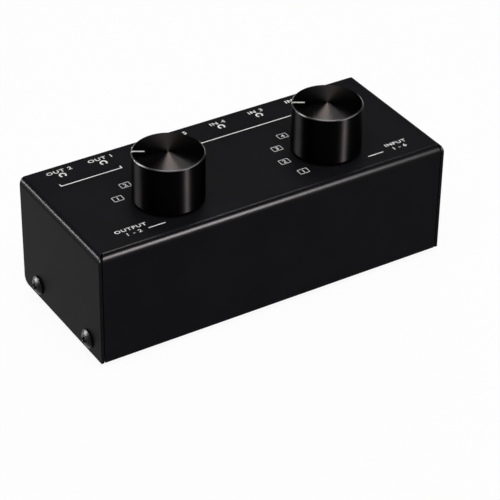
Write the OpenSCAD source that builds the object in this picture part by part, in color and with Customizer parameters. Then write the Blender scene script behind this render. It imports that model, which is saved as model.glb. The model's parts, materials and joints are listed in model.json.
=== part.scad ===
// Passive stereo audio selector: six inputs and two outputs, chosen with two rotary switches.
// A folded steel cover closes a steel chassis with a back panel. +Z is up, +X is to the right along the
// front, +Y is the back with the sockets, and the origin is on the table under the middle of the case.

/* [Case] */
// Length of the case along its front
case_w = 122; // [116:1:150]
// Depth of the case from front to back
case_d = 50; // [48:1:70]
// Height of the case, without feet and knobs
case_h = 38; // [28:1:60]
// Thickness of the folded steel sheet
sheet_t = 1; // [0.8:0.1:1.2]
// Outside radius of a fold
bend_r = 2; // [1.6:0.1:2.6]
// Gap where one sheet edge faces another
seam_gap = 0.3; // [0.2:0.05:0.5]
// Width of the slit that frees each end of a fold
relief_w = 0.5; // [0.3:0.1:0.8]
// Radius of the lower rear corners of the end flaps
flap_corner_r = 2.5; // [1:0.5:5]
// How far the back panel sits inside the rear edge of the cover
back_inset = 0.5; // [0.3:0.1:1]
// Number of tabs that hold the back panel in the bottom
tab_count = 3; // [2:1:3]
// Length of those tabs
tab_l = 10; // [6:1:14]
// Distance between neighbouring tabs
tab_pitch = 44; // [36:1:48]
// Play of a tab in its notch
tab_play = 0.1; // [0.05:0.05:0.2]

/* [End screws] */
// Height of the chassis flanges that the end screws hold
flange_h = 9; // [8:0.5:12]
// Length of flange beyond each screw
flange_margin = 4.5; // [4:0.5:5]
// Distance between the two screws of an end
screw_pitch = 32; // [24:1:33]
// Place of the middle of that pair, from the middle of the case
screw_mid_y = -1; // [-1:0.5:2]
// Height of the screws above the bottom of the case
screw_z = 4.5; // [4.2:0.1:5.5]
// Thread diameter of the screws
screw_d = 3; // [2.5:0.5:3]
// Length of the screws under the head
screw_l = 5; // [4:0.5:8]
// Diameter of the pan head
screw_head_d = 6; // [5:0.2:6.4]
// Height of the straight edge of the pan head
screw_edge_h = 0.5; // [0.3:0.1:0.8]
// Height of the dome of the pan head
screw_dome_h = 1.2; // [0.8:0.1:1.4]
// Length of the arms of the cross recess
recess_l = 3.2; // [2.4:0.1:3.6]
// Width of the arms of the cross recess
recess_w = 0.8; // [0.6:0.1:1]
// Depth of the cross recess
recess_d = 1.1; // [0.8:0.1:1.2]
// Play of a screw in the hole that it passes through
screw_play = 0.2; // [0.15:0.05:0.3]
// Play between a thread and the hole that holds it
thread_play = 0.03; // [0.02:0.01:0.06]

/* [Feet] */
// Height of the rubber feet
foot_h = 1.5; // [1:0.1:3]
// Diameter of the rubber feet
foot_d = 9; // [7:0.5:12]
// Bevel on the lower edge of the feet
foot_bevel = 0.5; // [0.2:0.1:0.8]
// Distance from the ends of the case to the middle of a foot
foot_inset_x = 12; // [8:0.5:20]
// Distance from front and back of the case to the middle of a foot
foot_inset_y = 9; // [7.5:0.5:14]

/* [Knobs] */
// Distance between the axes of the two knobs
knob_spacing = 56; // [46:1:70]
// Distance from the front of the case to the knob axes
knob_setback = 17; // [16:0.5:19]
// Diameter of the knobs
knob_d = 22; // [20:0.5:26]
// Height of the knobs
knob_h = 15.5; // [14:0.5:20]
// Gap between a knob and the top of the case
knob_gap = 1; // [0.6:0.1:1.5]
// Bright chamfer round the face of a knob
knob_chamfer = 0.4; // [0.3:0.1:1.2]
// Bevel on the lower edge of a knob
knob_bevel = 0.3; // [0.2:0.1:0.6]
// Thickness of metal over the end of the shaft
knob_cap_t = 3; // [2:0.5:4]
// Room inside the hollow underside, around and above the nut, the bushing and the clip
knob_room = 0.8; // [0.5:0.1:1]
// Length of the index line on the face
index_l = 4.1; // [3:0.1:6]
// Width of the index line
index_w = 0.75; // [0.5:0.05:1.4]
// Depth of the milled slot of the index line
index_depth = 0.25; // [0.15:0.05:0.4]
// Thread diameter of the grub screw
grub_d = 3; // [2.5:0.5:3]
// Length of the grub screw
grub_l = 4; // [3:0.5:6]
// Width across the flats of its hexagon socket
grub_key = 1.5; // [1.3:0.1:1.6]
// Depth of its hexagon socket
grub_key_depth = 1.5; // [1:0.1:2]

/* [Rotary switches] */
// Turn from one position to the next, in degrees
step_a = 30; // [30]
// Positions of the output switch
output_positions = 2; // [2:1:6]
// Position of the output switch as shown
output_at = 1; // [1:1:2]
// Direction of the index at output position 1, in degrees from +X
output_first_a = 150; // [120:15:180]
// Positions of the input switch
input_positions = 6; // [3:1:8]
// Position of the input switch as shown
input_at = 3; // [1:1:3]
// Direction of the index at input position 1, in degrees from +X
input_first_a = 210; // [180:15:240]
// Diameter of the switch housing
switch_d = 26; // [25.6:0.1:27]
// Height of the switch housing
switch_h = 10.5; // [10.2:0.1:13]
// Diameter of the threaded bushing
bushing_d = 9; // [8.4:0.1:9.4]
// Height of the bushing above the case
bushing_proud = 5; // [4:0.5:7]
// Diameter of the flange that holds the bushing in the housing
bushing_flange_d = 12.4; // [11.6:0.2:12.6]
// Thickness of that flange
bushing_flange_t = 1; // [0.8:0.1:1.2]
// Diameter of the shaft
shaft_d = 6; // [5:0.5:6.5]
// Distance from the shaft axis to its flat
shaft_flat = 1.5; // [1.2:0.1:1.8]
// Running clearance of the shaft in the bushing, on the radius
shaft_play = 0.05; // [0.02:0.01:0.08]
// Width across the flats of the nut
nut_af = 12; // [11.6:0.1:13]
// Height of the nut
nut_h = 2.2; // [1.6:0.2:2.8]
// Outside diameter of the toothed lock washer
washer_d = 13.4; // [12.4:0.2:13.6]
// Thickness of the lock washer
washer_t = 0.5; // [0.3:0.1:0.6]
// Number of teeth inside the lock washer
washer_teeth = 10; // [8:1:12]
// Length of those teeth
washer_tooth_l = 1; // [0.6:0.1:1.2]
// Outside diameter of the clip that keeps the shaft in the bushing
clip_d = 8; // [7.4:0.2:8.4]
// Thickness of the clip
clip_t = 0.6; // [0.4:0.1:0.8]
// Depth of the groove for the clip in the shaft
clip_groove = 0.7; // [0.5:0.1:0.8]
// Thickness of the front wall of the housing, under the stop ring
housing_wall_t = 1; // [0.8:0.1:1.2]
// Outside diameter of the stop ring
stop_ring_d = 17.4; // [17.2:0.1:17.6]
// Thickness of the stop ring
stop_ring_t = 0.8; // [0.6:0.1:1]
// Width of the tab of the stop ring
stop_tab_w = 1.4; // [1:0.1:1.6]
// Inner radius of the path in which the stop lug travels
stop_path_r0 = 6.8; // [6.6:0.1:7]
// Outer radius of that path
stop_path_r1 = 8.5; // [8.3:0.1:8.6]
// Angle that the stop lug fills
stop_lug_a = 16; // [12:1:18]
// Angle that the fixed stop fills
stop_rib_a = 10; // [8:1:14]
// Free turn past the last position, at each end
stop_play_a = 1.5; // [1:0.5:2]
// Diameter of the peg that keeps the housing from turning
peg_d = 1.6; // [1.2:0.1:1.7]
// Distance of the peg from the shaft axis
peg_r = 9.8; // [9.7:0.1:10]
// Radius of the crests of the detent ring
detent_r = 10.2; // [10:0.1:10.4]
// Depth of the detent notches
detent_depth = 0.4; // [0.2:0.1:0.5]
// Radius of the detent notches
detent_notch_r = 1.6; // [1.5:0.1:1.9]
// Diameter of the detent balls
ball_d = 3; // [2.6:0.1:3]
// Free space between a ball and the crests of the ring
ball_play = 0.1; // [0.05:0.05:0.15]
// Height of the rotor
rotor_h = 4; // [3.8:0.1:4.2]
// Gap between the rim of the rotor and the detent ring
rotor_rim_gap = 1; // [0.6:0.1:1.2]
// Depth of material between the shaft and the spring pockets
pocket_floor = 1.2; // [0.9:0.1:1.4]
// Wire diameter of the detent springs
spring_wire = 0.35; // [0.25:0.05:0.4]
// Mean diameter of the detent springs
spring_d = 2; // [1.6:0.1:2.1]
// Turns of a detent spring
spring_turns = 3; // [2:0.5:3]
// Running gap between parts of the switch that turn past each other
turn_gap = 0.3; // [0.2:0.05:0.4]
// Thickness of the wafer that carries the terminals
wafer_t = 1.6; // [1.2:0.1:2]
// Diameter of the wafer
wafer_d = 24; // [23.4:0.1:24.4]
// Radius of the chamber where the wipers turn
chamber_r = 11; // [10.8:0.1:11.4]
// Number of outer terminals
terminal_count = 12; // [12]
// Radius of the circle of outer terminals
terminal_r = 9; // [8.6:0.1:9.4]
// Diameter of the contact heads of the terminals
terminal_head_d = 1.8; // [1.4:0.1:2]
// Thickness of contact heads and common contact strips
terminal_t = 0.3; // [0.2:0.05:0.4]
// Middle radius of the common contact strips
common_r = 5; // [4.8:0.1:5.4]
// Width of the common contact strips
common_w = 1.6; // [1.2:0.1:1.8]
// Angle that each common strip fills
common_a = 168; // [160:2:170]
// Diameter of the terminal pins
pin_d = 0.9; // [0.7:0.1:1]
// Width of the wipers
wiper_w = 2; // [1.4:0.1:2.4]
// Thickness of the wipers
wiper_t = 0.3; // [0.2:0.05:0.4]
// Diameter of the formed feet of the wipers
wiper_foot_d = 1.2; // [0.8:0.1:1.4]
// Gap between the feet of the wipers and the terminals
wiper_gap = 0.1; // [0.05:0.05:0.2]

/* [Sockets] */
// Distance between neighbouring sockets
jack_pitch = 14; // [12:0.5:15]
// Width of a socket body
jack_w = 9; // [8:0.5:11]
// Length of a socket body, behind the back panel
jack_l = 14; // [13.6:0.1:14]
// Height of a socket body
jack_h = 6.6; // [6.4:0.1:8]
// Diameter of the socket nose in the back panel
jack_nose_d = 6; // [5.4:0.1:6.2]
// Play of the nose in its hole
jack_play = 0.2; // [0.15:0.05:0.3]
// Diameter of the plug bore
plug_d = 3.6; // [3.5:0.05:3.8]
// Depth of the plug bore
plug_depth = 14.4; // [14:0.1:14.8]
// Mouth chamfer of the plug bore
plug_chamfer = 0.4; // [0.2:0.1:0.6]
// Thickness of the contact springs
leaf_t = 0.3; // [0.2:0.05:0.4]
// Length of the contact springs
leaf_l = 3; // [2.4:0.1:3.2]
// Width of the contact springs
leaf_w = 1.6; // [1.2:0.1:1.8]
// Radius of the bump that meets the plug
leaf_bump_r = 0.5; // [0.4:0.05:0.6]
// Width of the legs of the contact springs
leaf_leg_w = 0.8; // [0.6:0.1:1]
// Play of a contact spring in its slot, and before the plug bore
leaf_play = 0.1; // [0.05:0.05:0.2]
// Distance of the sleeve, ring and tip contacts from the mouth
leaf_from_mouth = [4.4, 8.4, 12.4]; // [3:0.1:13]

/* [Circuit board] */
// Thickness of the circuit board
board_t = 1.6; // [1:0.1:2]
// Gap between the board and the case
board_gap = 1; // [0.6:0.1:1.5]
// Play of pins and legs in their holes
pin_play = 0.1; // [0.05:0.05:0.15]
// Length of pins and legs under the board
pin_proud = 1.2; // [0.8:0.1:2]

/* [Hidden] */
$fn = 64;
// Overshoot of cuts past the faces that they open
cut = 1;
// Depth to which joined shapes of one piece run into each other
weld = 0.2;

// Levels of the case
base_z = foot_h;
top_z = base_z + case_h;
panel_z = top_z - sheet_t;
front_y = -case_d / 2;
rear_y = case_d / 2;
back_y = rear_y - back_inset;
half_w = case_w / 2;
fold_z = top_z - bend_r;
flap_front_y = front_y + sheet_t + seam_gap;
fold_start_y = front_y + bend_r + seam_gap;

// Chassis inside the cover
chassis_half = half_w - sheet_t - seam_gap;
flange_y0 = screw_mid_y - screw_pitch / 2 - flange_margin;
flange_y1 = screw_mid_y + screw_pitch / 2 + flange_margin;
flange_corner_r = flange_margin / 2;
screw_hole_d = screw_d + 2 * screw_play;
tapped_d = screw_d + 2 * thread_play;

// Knobs
knob_y = front_y + knob_setback;
knob_z = top_z + knob_gap;
knob_r = knob_d / 2;
bushing_top = top_z + bushing_proud;
clip_z = bushing_top + pin_play;
clip_top = clip_z + clip_t;
hollow_z = clip_top + knob_room;
nut_corner_r = nut_af / 2 / cos(30);
hollow_r = max(nut_corner_r, washer_d / 2) + knob_room;
bore_top = knob_z + knob_h - knob_cap_t;
shaft_top = bore_top - turn_gap;
shaft_r = shaft_d / 2;
grub_z = (hollow_z + bore_top) / 2;
grub_a = -90;

// Levels of a switch, from the case top downwards
housing_z = panel_z - switch_h;
ring_z = panel_z - stop_ring_t;
wall_z = ring_z - housing_wall_t;
flange_z = wall_z - bushing_flange_t;
rotor_top = flange_z - turn_gap;
rotor_z = rotor_top - rotor_h;
ball_z = rotor_z + rotor_h / 2;
lug_h = bushing_flange_t;
wafer_top = housing_z + wafer_t;
contact_z = wafer_top + terminal_t;
pin_z = housing_z - board_t - pin_proud;

// Plan sizes of a switch
switch_r = switch_d / 2;
bushing_r = bushing_d / 2;
rotor_r = detent_r - rotor_rim_gap;
ball_at = detent_r - ball_play - ball_d / 2;
pocket_d = ball_d + 2 * pin_play;
pocket_r0 = shaft_r + pocket_floor;
spring_reach = sqrt(pow(ball_d / 2, 2) - pow(spring_d / 2, 2));
spring_r0 = pocket_r0 + spring_wire / 2 + ball_play;
spring_r1 = ball_at - spring_reach - spring_wire / 2 - ball_play;
detent_z0 = ball_z - ball_d / 2 - turn_gap;
detent_z1 = ball_z + ball_d / 2 + turn_gap;
stop_lug_at = 180;
stop_rib_at = stop_lug_at + (stop_lug_a + stop_rib_a) / 2 + stop_play_a;
stop_tab_offset = stop_lug_a / 2 + stop_play_a + asin(stop_tab_w / 2 / stop_path_r0);
stop_slot_count = 9;
peg_a = -90;
wiper_r1 = terminal_r + wiper_foot_d / 2 + leaf_play;
wiper_r0 = common_r - wiper_foot_d / 2 - leaf_play;

// Sockets
jack_names = ["out_2", "out_1", "in_6", "in_5", "in_4", "in_3", "in_2", "in_1"];
jack_count = len(jack_names);
jack_z = housing_z + jack_h / 2;
jack_front_y = back_y - sheet_t - leaf_play;
plug_r = plug_d / 2;
leaf_side = [-1, 1, -1];
leaf_x = plug_r + leaf_play + leaf_bump_r;
leg_x = leaf_x + leaf_t / 2;
leg_hole_d = sqrt(pow(leaf_t, 2) + pow(leaf_leg_w, 2)) + 2 * pin_play;

// Places of the two switches: side of the case, first direction, turn as shown, number of positions
function is_output(name) = name == "output";
function side_of(name) = is_output(name) ? -1 : 1;
function first_a(name) = is_output(name) ? output_first_a : input_first_a;
function turned(name) = -step_a * ((is_output(name) ? output_at : input_at) - 1);
function positions_of(name) = is_output(name) ? output_positions : input_positions;
function tab_at(positions) = stop_lug_at - step_a * (positions - 1) - stop_tab_offset;
function jack_x(i) = (i - (jack_count - 1) / 2) * jack_pitch;
function jack_index(name) = search([name], jack_names)[0];

// Extrudes a section drawn in Y and Z along X, over the middle
module along_x(length) {
    rotate([90, 0, 90]) linear_extrude(length, center = true) children();
}

// Extrudes a section drawn in X and Z along Y, between two places
module along_y(y0, y1) {
    translate([0, y1, 0]) rotate([90, 0, 0]) linear_extrude(y1 - y0) children();
}

// Makes the children on both ends of the case
module both_ends() {
    children();
    mirror([1, 0, 0]) children();
}

// Section of a quarter fold about its own axis
module fold_section() {
    intersection() {
        difference() {
            circle(bend_r);
            circle(bend_r - sheet_t);
        }
        square(bend_r);
    }
}

// What rounding takes off a corner at the origin, with the sheet on the -X and +Y sides
module corner_waste(r) {
    difference() {
        translate([-r, -cut]) square([r + cut, r + cut]);
        translate([-r, r]) circle(r);
    }
}

// Part of a flat ring, centred on the +X direction
module ring_sector(r0, r1, angle, height) {
    rotate(-angle / 2) rotate_extrude(angle = angle) translate([r0, 0]) square([r1 - r0, height]);
}

// Cylinder between two levels
module post(r, z0, z1) {
    translate([0, 0, z0]) cylinder(r = r, h = z1 - z0);
}

// Copies the children to the fixed frame of a switch, where position 1 looks along +X
module at_switch(name) {
    translate([side_of(name) * knob_spacing / 2, knob_y, 0]) rotate(first_a(name)) children();
}

// Copies the children to the turning frame of a switch, where the index looks along +X
module at_shaft(name) {
    at_switch(name) rotate(turned(name)) children();
}

// Copies the children to the end screws, with +Z of the screw pointing out of the case
module at_screws() {
    both_ends() for (s = [-1, 1])
        translate([half_w, screw_mid_y + s * screw_pitch / 2, base_z + screw_z])
            rotate([0, 90, 0]) children();
}

module end_flap_outline() {
    difference() {
        translate([flap_front_y, base_z]) square([rear_y - flap_front_y, fold_z - base_z]);
        translate([rear_y, base_z]) corner_waste(flap_corner_r);
    }
}

// Fold above the front flap, mitred so that its ends follow the round of the end folds
module front_fold() {
    difference() {
        along_x(case_w) translate([front_y + bend_r, fold_z]) mirror([1, 0]) fold_section();
        both_ends() translate([half_w - bend_r, front_y + bend_r, fold_z - cut])
            linear_extrude(bend_r + 2 * cut) polygon([
                [0, 0], [bend_r + cut, -bend_r - cut], [bend_r + cut, cut], [0, cut]
            ]);
    }
}

// Fold above an end flap, cut back at the front to keep clear of the front fold
module end_fold() {
    difference() {
        along_y(flap_front_y, rear_y) translate([half_w - bend_r, fold_z]) fold_section();
        translate([half_w - bend_r, 0, fold_z - cut]) linear_extrude(bend_r + 2 * cut) polygon([
            [-cut, fold_start_y], [0, fold_start_y], [bend_r, flap_front_y], [bend_r + cut, flap_front_y],
            [bend_r + cut, front_y], [-cut, front_y]
        ]);
    }
}

module cover_sheet() {
    translate([-half_w + bend_r, front_y + bend_r, panel_z])
        cube([case_w - 2 * bend_r, case_d - bend_r, sheet_t]);
    front_fold();
    translate([-half_w, front_y, base_z]) cube([case_w, sheet_t, fold_z - base_z]);
    both_ends() {
        end_fold();
        translate([half_w - sheet_t / 2, 0, 0]) along_x(sheet_t) end_flap_outline();
    }
}

module cover() {
    color("#202022") difference() {
        cover_sheet();
        for (name = ["output", "input"]) at_switch(name) {
            post(bushing_r + screw_play, panel_z - cut, top_z + cut);
            rotate(peg_a) translate([peg_r, 0, 0]) post(peg_d / 2 + screw_play, panel_z - cut, top_z + cut);
        }
        at_screws() post(screw_hole_d / 2, -sheet_t - cut, cut);
    }
}

module flange_outline() {
    difference() {
        translate([flange_y0, base_z + bend_r]) square([flange_y1 - flange_y0, flange_h - bend_r]);
        translate([flange_y1, base_z + flange_h]) mirror([0, 1]) corner_waste(flange_corner_r);
        translate([flange_y0, base_z + flange_h]) rotate(180) corner_waste(flange_corner_r);
    }
}

module chassis_flange() {
    along_y(flange_y0, flange_y1)
        translate([chassis_half - bend_r, base_z + bend_r]) mirror([0, 1]) fold_section();
    translate([chassis_half - sheet_t / 2, 0, 0]) along_x(sheet_t) flange_outline();
}

// Copies the children to the tabs of the back panel, at the outer face of the panel and the bottom
module at_tabs() {
    for (i = [0 : tab_count - 1])
        translate([(i - (tab_count - 1) / 2) * tab_pitch, back_y, base_z]) children();
}

// Bottom with an upturned flange at each end, notched for the tabs of the back panel
module chassis() {
    color("#242426") difference() {
        union() {
            difference() {
                translate([-chassis_half, flap_front_y, base_z])
                    cube([2 * chassis_half, back_y - flap_front_y, sheet_t]);
                both_ends() translate([chassis_half - bend_r, flange_y0 - relief_w, base_z - cut])
                    cube([bend_r + cut, flange_y1 - flange_y0 + 2 * relief_w, sheet_t + 2 * cut]);
            }
            both_ends() chassis_flange();
        }
        at_screws() post(tapped_d / 2, chassis_half - half_w - sheet_t - cut, cut);
        at_tabs() translate([-tab_l / 2 - tab_play, -sheet_t - tab_play, -cut])
            cube([tab_l + 2 * tab_play, sheet_t + tab_play + cut, sheet_t + 2 * cut]);
    }
}

// Flat panel that stands on the bottom, with its tabs welded into the notches
module back_panel() {
    color("#242426") difference() {
        union() {
            translate([-chassis_half, back_y - sheet_t, base_z + sheet_t])
                cube([2 * chassis_half, sheet_t, panel_z - seam_gap - base_z - sheet_t]);
            at_tabs() translate([-tab_l / 2, -sheet_t, 0]) cube([tab_l, sheet_t, sheet_t + weld]);
        }
        for (i = [0 : jack_count - 1])
            translate([jack_x(i), back_y, jack_z]) rotate([90, 0, 0])
                post(jack_nose_d / 2 + jack_play, -cut, sheet_t + cut);
    }
}

module pan_head_section() {
    dome_r = (pow(screw_head_d / 2, 2) + pow(screw_dome_h, 2)) / 2 / screw_dome_h;
    intersection() {
        translate([0, screw_edge_h + screw_dome_h - dome_r]) circle(dome_r);
        square([screw_head_d / 2, screw_edge_h + screw_dome_h]);
    }
}

module cover_screws() {
    color("#18181a") at_screws() difference() {
        union() {
            rotate_extrude() pan_head_section();
            post(screw_d / 2, -screw_l, weld);
        }
        for (a = [0, 90])
            rotate(a) translate([-recess_l / 2, -recess_w / 2, screw_edge_h + screw_dome_h - recess_d])
                cube([recess_l, recess_w, recess_d + cut]);
    }
}

module rubber_feet() {
    color("#1c1c1c") for (x = [-1, 1], y = [-1, 1])
        translate([x * (half_w - foot_inset_x), y * (case_d / 2 - foot_inset_y), 0])
            rotate_extrude() polygon([
                [0, 0],
                [foot_d / 2 - foot_bevel, 0],
                [foot_d / 2, foot_bevel],
                [foot_d / 2, foot_h],
                [0, foot_h]
            ]);
}

module circuit_board() {
    board_half = half_w - sheet_t - board_gap;
    board_y0 = front_y + sheet_t + board_gap;
    board_y1 = back_y - sheet_t - board_gap;
    color("#1f5a34") difference() {
        translate([-board_half, board_y0, housing_z - board_t])
            cube([2 * board_half, board_y1 - board_y0, board_t]);
        for (name = ["output", "input"]) at_switch(name) at_terminals()
            post(pin_d / 2 + pin_play, housing_z - board_t - cut, housing_z + cut);
        for (i = [0 : jack_count - 1]) at_contacts(i)
            translate([leg_x, 0, 0]) post(leg_hole_d / 2, housing_z - board_t - cut, housing_z + cut);
    }
}

// Turned knob: hollow below for the nut, bored for the shaft, index slot milled into the face
module knob(name) {
    color("#101012") at_shaft(name) difference() {
        rotate_extrude() polygon([
            [shaft_r + shaft_play, hollow_z],
            [hollow_r, hollow_z],
            [hollow_r, knob_z],
            [knob_r - knob_bevel, knob_z],
            [knob_r, knob_z + knob_bevel],
            [knob_r, knob_z + knob_h - knob_chamfer],
            [knob_r - knob_chamfer, knob_z + knob_h],
            [0, knob_z + knob_h],
            [0, bore_top],
            [shaft_r + shaft_play, bore_top]
        ]);
        translate([knob_r - index_l, -index_w / 2, knob_z + knob_h - index_depth])
            cube([index_l + cut, index_w, index_depth + cut]);
        rotate(grub_a) translate([0, 0, grub_z]) rotate([0, 90, 0])
            post(grub_d / 2 + thread_play, shaft_flat, knob_r + cut);
    }
}

module grub_screw(name) {
    color("#303033") at_shaft(name) rotate(grub_a) translate([0, 0, grub_z])
    rotate([0, 90, 0]) difference() {
        post(grub_d / 2, shaft_flat + thread_play, shaft_flat + thread_play + grub_l);
        translate([0, 0, shaft_flat + thread_play + grub_l - grub_key_depth])
            cylinder(d = grub_key / cos(30), h = grub_key_depth + cut, $fn = 6);
    }
}

// What the flat takes off the shaft between two levels
module flat_waste(z0, z1) {
    rotate(grub_a) translate([shaft_flat, -shaft_d, z0]) cube([shaft_d, 2 * shaft_d, z1 - z0]);
}

module shaft(name) {
    color("#b8bac0") at_shaft(name) difference() {
        post(shaft_r, rotor_z, shaft_top);
        flat_waste(hollow_z, shaft_top + cut);
        flat_waste(rotor_z - cut, rotor_top);
        difference() {
            post(shaft_r + cut, clip_z - pin_play, clip_top + pin_play);
            post(shaft_r - clip_groove, clip_z - cut, clip_top + cut);
        }
    }
}

module clip(name) {
    color("#9a9ca2") at_shaft(name) translate([0, 0, clip_z])
        ring_sector(shaft_r - clip_groove + thread_play, clip_d / 2, 300, clip_t);
}

module rotor(name) {
    color("#e6e2d6") at_shaft(name) {
        difference() {
            post(rotor_r, rotor_z, rotor_top);
            difference() {
                post(shaft_r + thread_play, rotor_z - cut, rotor_top + cut);
                rotate(grub_a) translate([shaft_flat + thread_play, -shaft_d, rotor_z])
                    cube([shaft_d, 2 * shaft_d, rotor_h]);
            }
            for (a = [0, 180])
                rotate(a) translate([0, 0, ball_z]) rotate([0, 90, 0])
                    post(pocket_d / 2, pocket_r0, rotor_r + cut);
        }
        rotate(stop_lug_at) translate([0, 0, rotor_top - weld])
            ring_sector(stop_path_r0, stop_path_r1, stop_lug_a, lug_h + weld);
    }
}

// Helical spring along +Z: rings of points round the wire, joined into one tube
module coil_spring(mean_d, wire, length, turns) {
    sides = 6;
    per_turn = 12;
    rings = round(turns * per_turn);
    slope = atan2(length, PI * mean_d * turns);
    function ring_point(i, j) = let (
        a = 360 * turns * i / rings,
        b = 360 * j / sides,
        r = mean_d / 2 + wire / 2 * cos(b),
        lift = wire / 2 * sin(b)
    ) [
        r * cos(a) + lift * sin(slope) * sin(a),
        r * sin(a) - lift * sin(slope) * cos(a),
        length * i / rings + lift * cos(slope)
    ];
    points = [for (i = [0 : rings], j = [0 : sides - 1]) ring_point(i, j)];
    walls = [
        for (i = [0 : rings - 1], j = [0 : sides - 1]) let (
            near = i * sides + j,
            side = i * sides + (j + 1) % sides
        ) each [[near, near + sides, side], [side, near + sides, side + sides]]
    ];
    first_cap = [for (j = [1 : sides - 2]) [0, j, j + 1]];
    last = rings * sides;
    last_cap = [for (j = [1 : sides - 2]) [last, last + j + 1, last + j]];
    polyhedron(points, concat(walls, first_cap, last_cap));
}

module detent_springs(name) {
    color("#c4c6ca") at_shaft(name) for (a = [0, 180])
        rotate(a) translate([spring_r0, 0, ball_z]) rotate([0, 90, 0])
            coil_spring(spring_d, spring_wire, spring_r1 - spring_r0, spring_turns);
}

module detent_balls(name) {
    color("#d0d2d6") at_shaft(name) for (a = [0, 180])
        rotate(a) translate([ball_at, 0, ball_z]) sphere(d = ball_d);
}

module wipers(name) {
    foot_z = contact_z + wiper_gap;
    color("#c89a50") at_shaft(name) for (a = [0, 180]) rotate(a) {
        translate([wiper_r0, -wiper_w / 2, rotor_z - wiper_t]) cube([wiper_r1 - wiper_r0, wiper_w, wiper_t]);
        for (r = [common_r, terminal_r])
            translate([r, 0, 0]) post(wiper_foot_d / 2, foot_z, rotor_z - wiper_t / 2);
    }
}

module housing(name) {
    color("#2a2c30") at_switch(name) {
        difference() {
            post(switch_r, housing_z, panel_z);
            post(wafer_d / 2 + leaf_play, housing_z - cut, wafer_top);
            post(chamber_r, housing_z, detent_z0);
            post(detent_r, housing_z, wall_z);
            for (i = [0 : terminal_count - 1])
                rotate(i * step_a) translate([detent_r + detent_depth - detent_notch_r, 0, 0])
                    post(detent_notch_r, detent_z0 - weld, detent_z1);
            post(bushing_r + leaf_play, wall_z - cut, panel_z + cut);
            post(stop_ring_d / 2 + leaf_play, ring_z, panel_z + cut);
            for (n = [2 : stop_slot_count])
                rotate(tab_at(n))
                    translate([stop_path_r0 - leaf_play, -stop_tab_w / 2 - leaf_play, wall_z - cut])
                        cube([
                            stop_path_r1 - stop_path_r0, stop_tab_w + 2 * leaf_play,
                            housing_wall_t + 2 * cut
                        ]);
        }
        rotate(stop_rib_at) translate([0, 0, rotor_top + turn_gap])
            ring_sector(stop_path_r0, detent_r + weld, stop_rib_a, lug_h + weld);
        rotate(peg_a) translate([peg_r, 0, 0]) post(peg_d / 2, panel_z - weld, top_z - weld);
    }
}

module bushing(name) {
    color("#c8cacc") at_switch(name) difference() {
        union() {
            post(bushing_flange_d / 2, flange_z, wall_z);
            post(bushing_r, flange_z, bushing_top);
        }
        post(shaft_r + shaft_play, flange_z - cut, bushing_top + cut);
    }
}

// Ring whose tab drops through one of the housing's slots and sets the number of positions
module stop_ring(name) {
    color("#b0b2b6") at_switch(name) {
        difference() {
            post(stop_ring_d / 2, ring_z, panel_z);
            post(bushing_r + leaf_play, ring_z - cut, panel_z + cut);
        }
        rotate(tab_at(positions_of(name))) translate([stop_path_r0, -stop_tab_w / 2, rotor_top + turn_gap])
            cube([
                stop_path_r1 - stop_path_r0 - 2 * leaf_play, stop_tab_w,
                ring_z + weld - rotor_top - turn_gap
            ]);
    }
}

module lock_washer(name) {
    tooth_pitch = 360 / washer_teeth;
    inner_r = bushing_r + leaf_play;
    color("#c0c2c6") at_switch(name) translate([0, 0, top_z]) difference() {
        cylinder(d = washer_d, h = washer_t);
        post(inner_r, -cut, washer_t + cut);
        for (i = [0 : washer_teeth - 1])
            rotate(i * tooth_pitch) translate([0, 0, -cut])
                ring_sector(inner_r - weld, inner_r + washer_tooth_l, tooth_pitch / 2, washer_t + 2 * cut);
    }
}

module nut(name) {
    color("#ccced2") at_switch(name) translate([0, 0, top_z + washer_t]) difference() {
        cylinder(r = nut_corner_r, h = nut_h, $fn = 6);
        post(bushing_r + thread_play, -cut, nut_h + cut);
    }
}

// Copies the children to the pins of a switch: the outer circle and the two commons
module at_terminals() {
    for (i = [0 : terminal_count - 1]) rotate(i * step_a) translate([terminal_r, 0, 0]) children();
    for (a = [0, 180]) rotate(a + common_middle()) translate([common_r, 0, 0]) children();
}

// Middle direction of a common strip: half way through its pole's six positions
function common_middle() = -step_a * (terminal_count / 2 - 1) / 2;

module wafer(name) {
    color("#7a4a2a") at_switch(name) difference() {
        post(wafer_d / 2, housing_z, wafer_top);
        at_terminals() post(pin_d / 2 + thread_play, housing_z - cut, wafer_top + cut);
    }
}

module terminals(name) {
    color("#d8c890") at_switch(name) {
        at_terminals() post(pin_d / 2, pin_z, wafer_top + weld);
        for (i = [0 : terminal_count - 1])
            rotate(i * step_a) translate([terminal_r, 0, 0]) post(terminal_head_d / 2, wafer_top, contact_z);
        for (a = [0, 180]) rotate(a + common_middle()) translate([0, 0, wafer_top])
            ring_sector(common_r - common_w / 2, common_r + common_w / 2, common_a, terminal_t);
    }
}

// Copies the children to the three contacts of a socket, with the bore axis on the -X side
module at_contacts(i) {
    for (k = [0 : len(leaf_from_mouth) - 1])
        translate([jack_x(i), rear_y - leaf_from_mouth[k], 0])
            rotate(leaf_side[k] < 0 ? 180 : 0) children();
}

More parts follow.
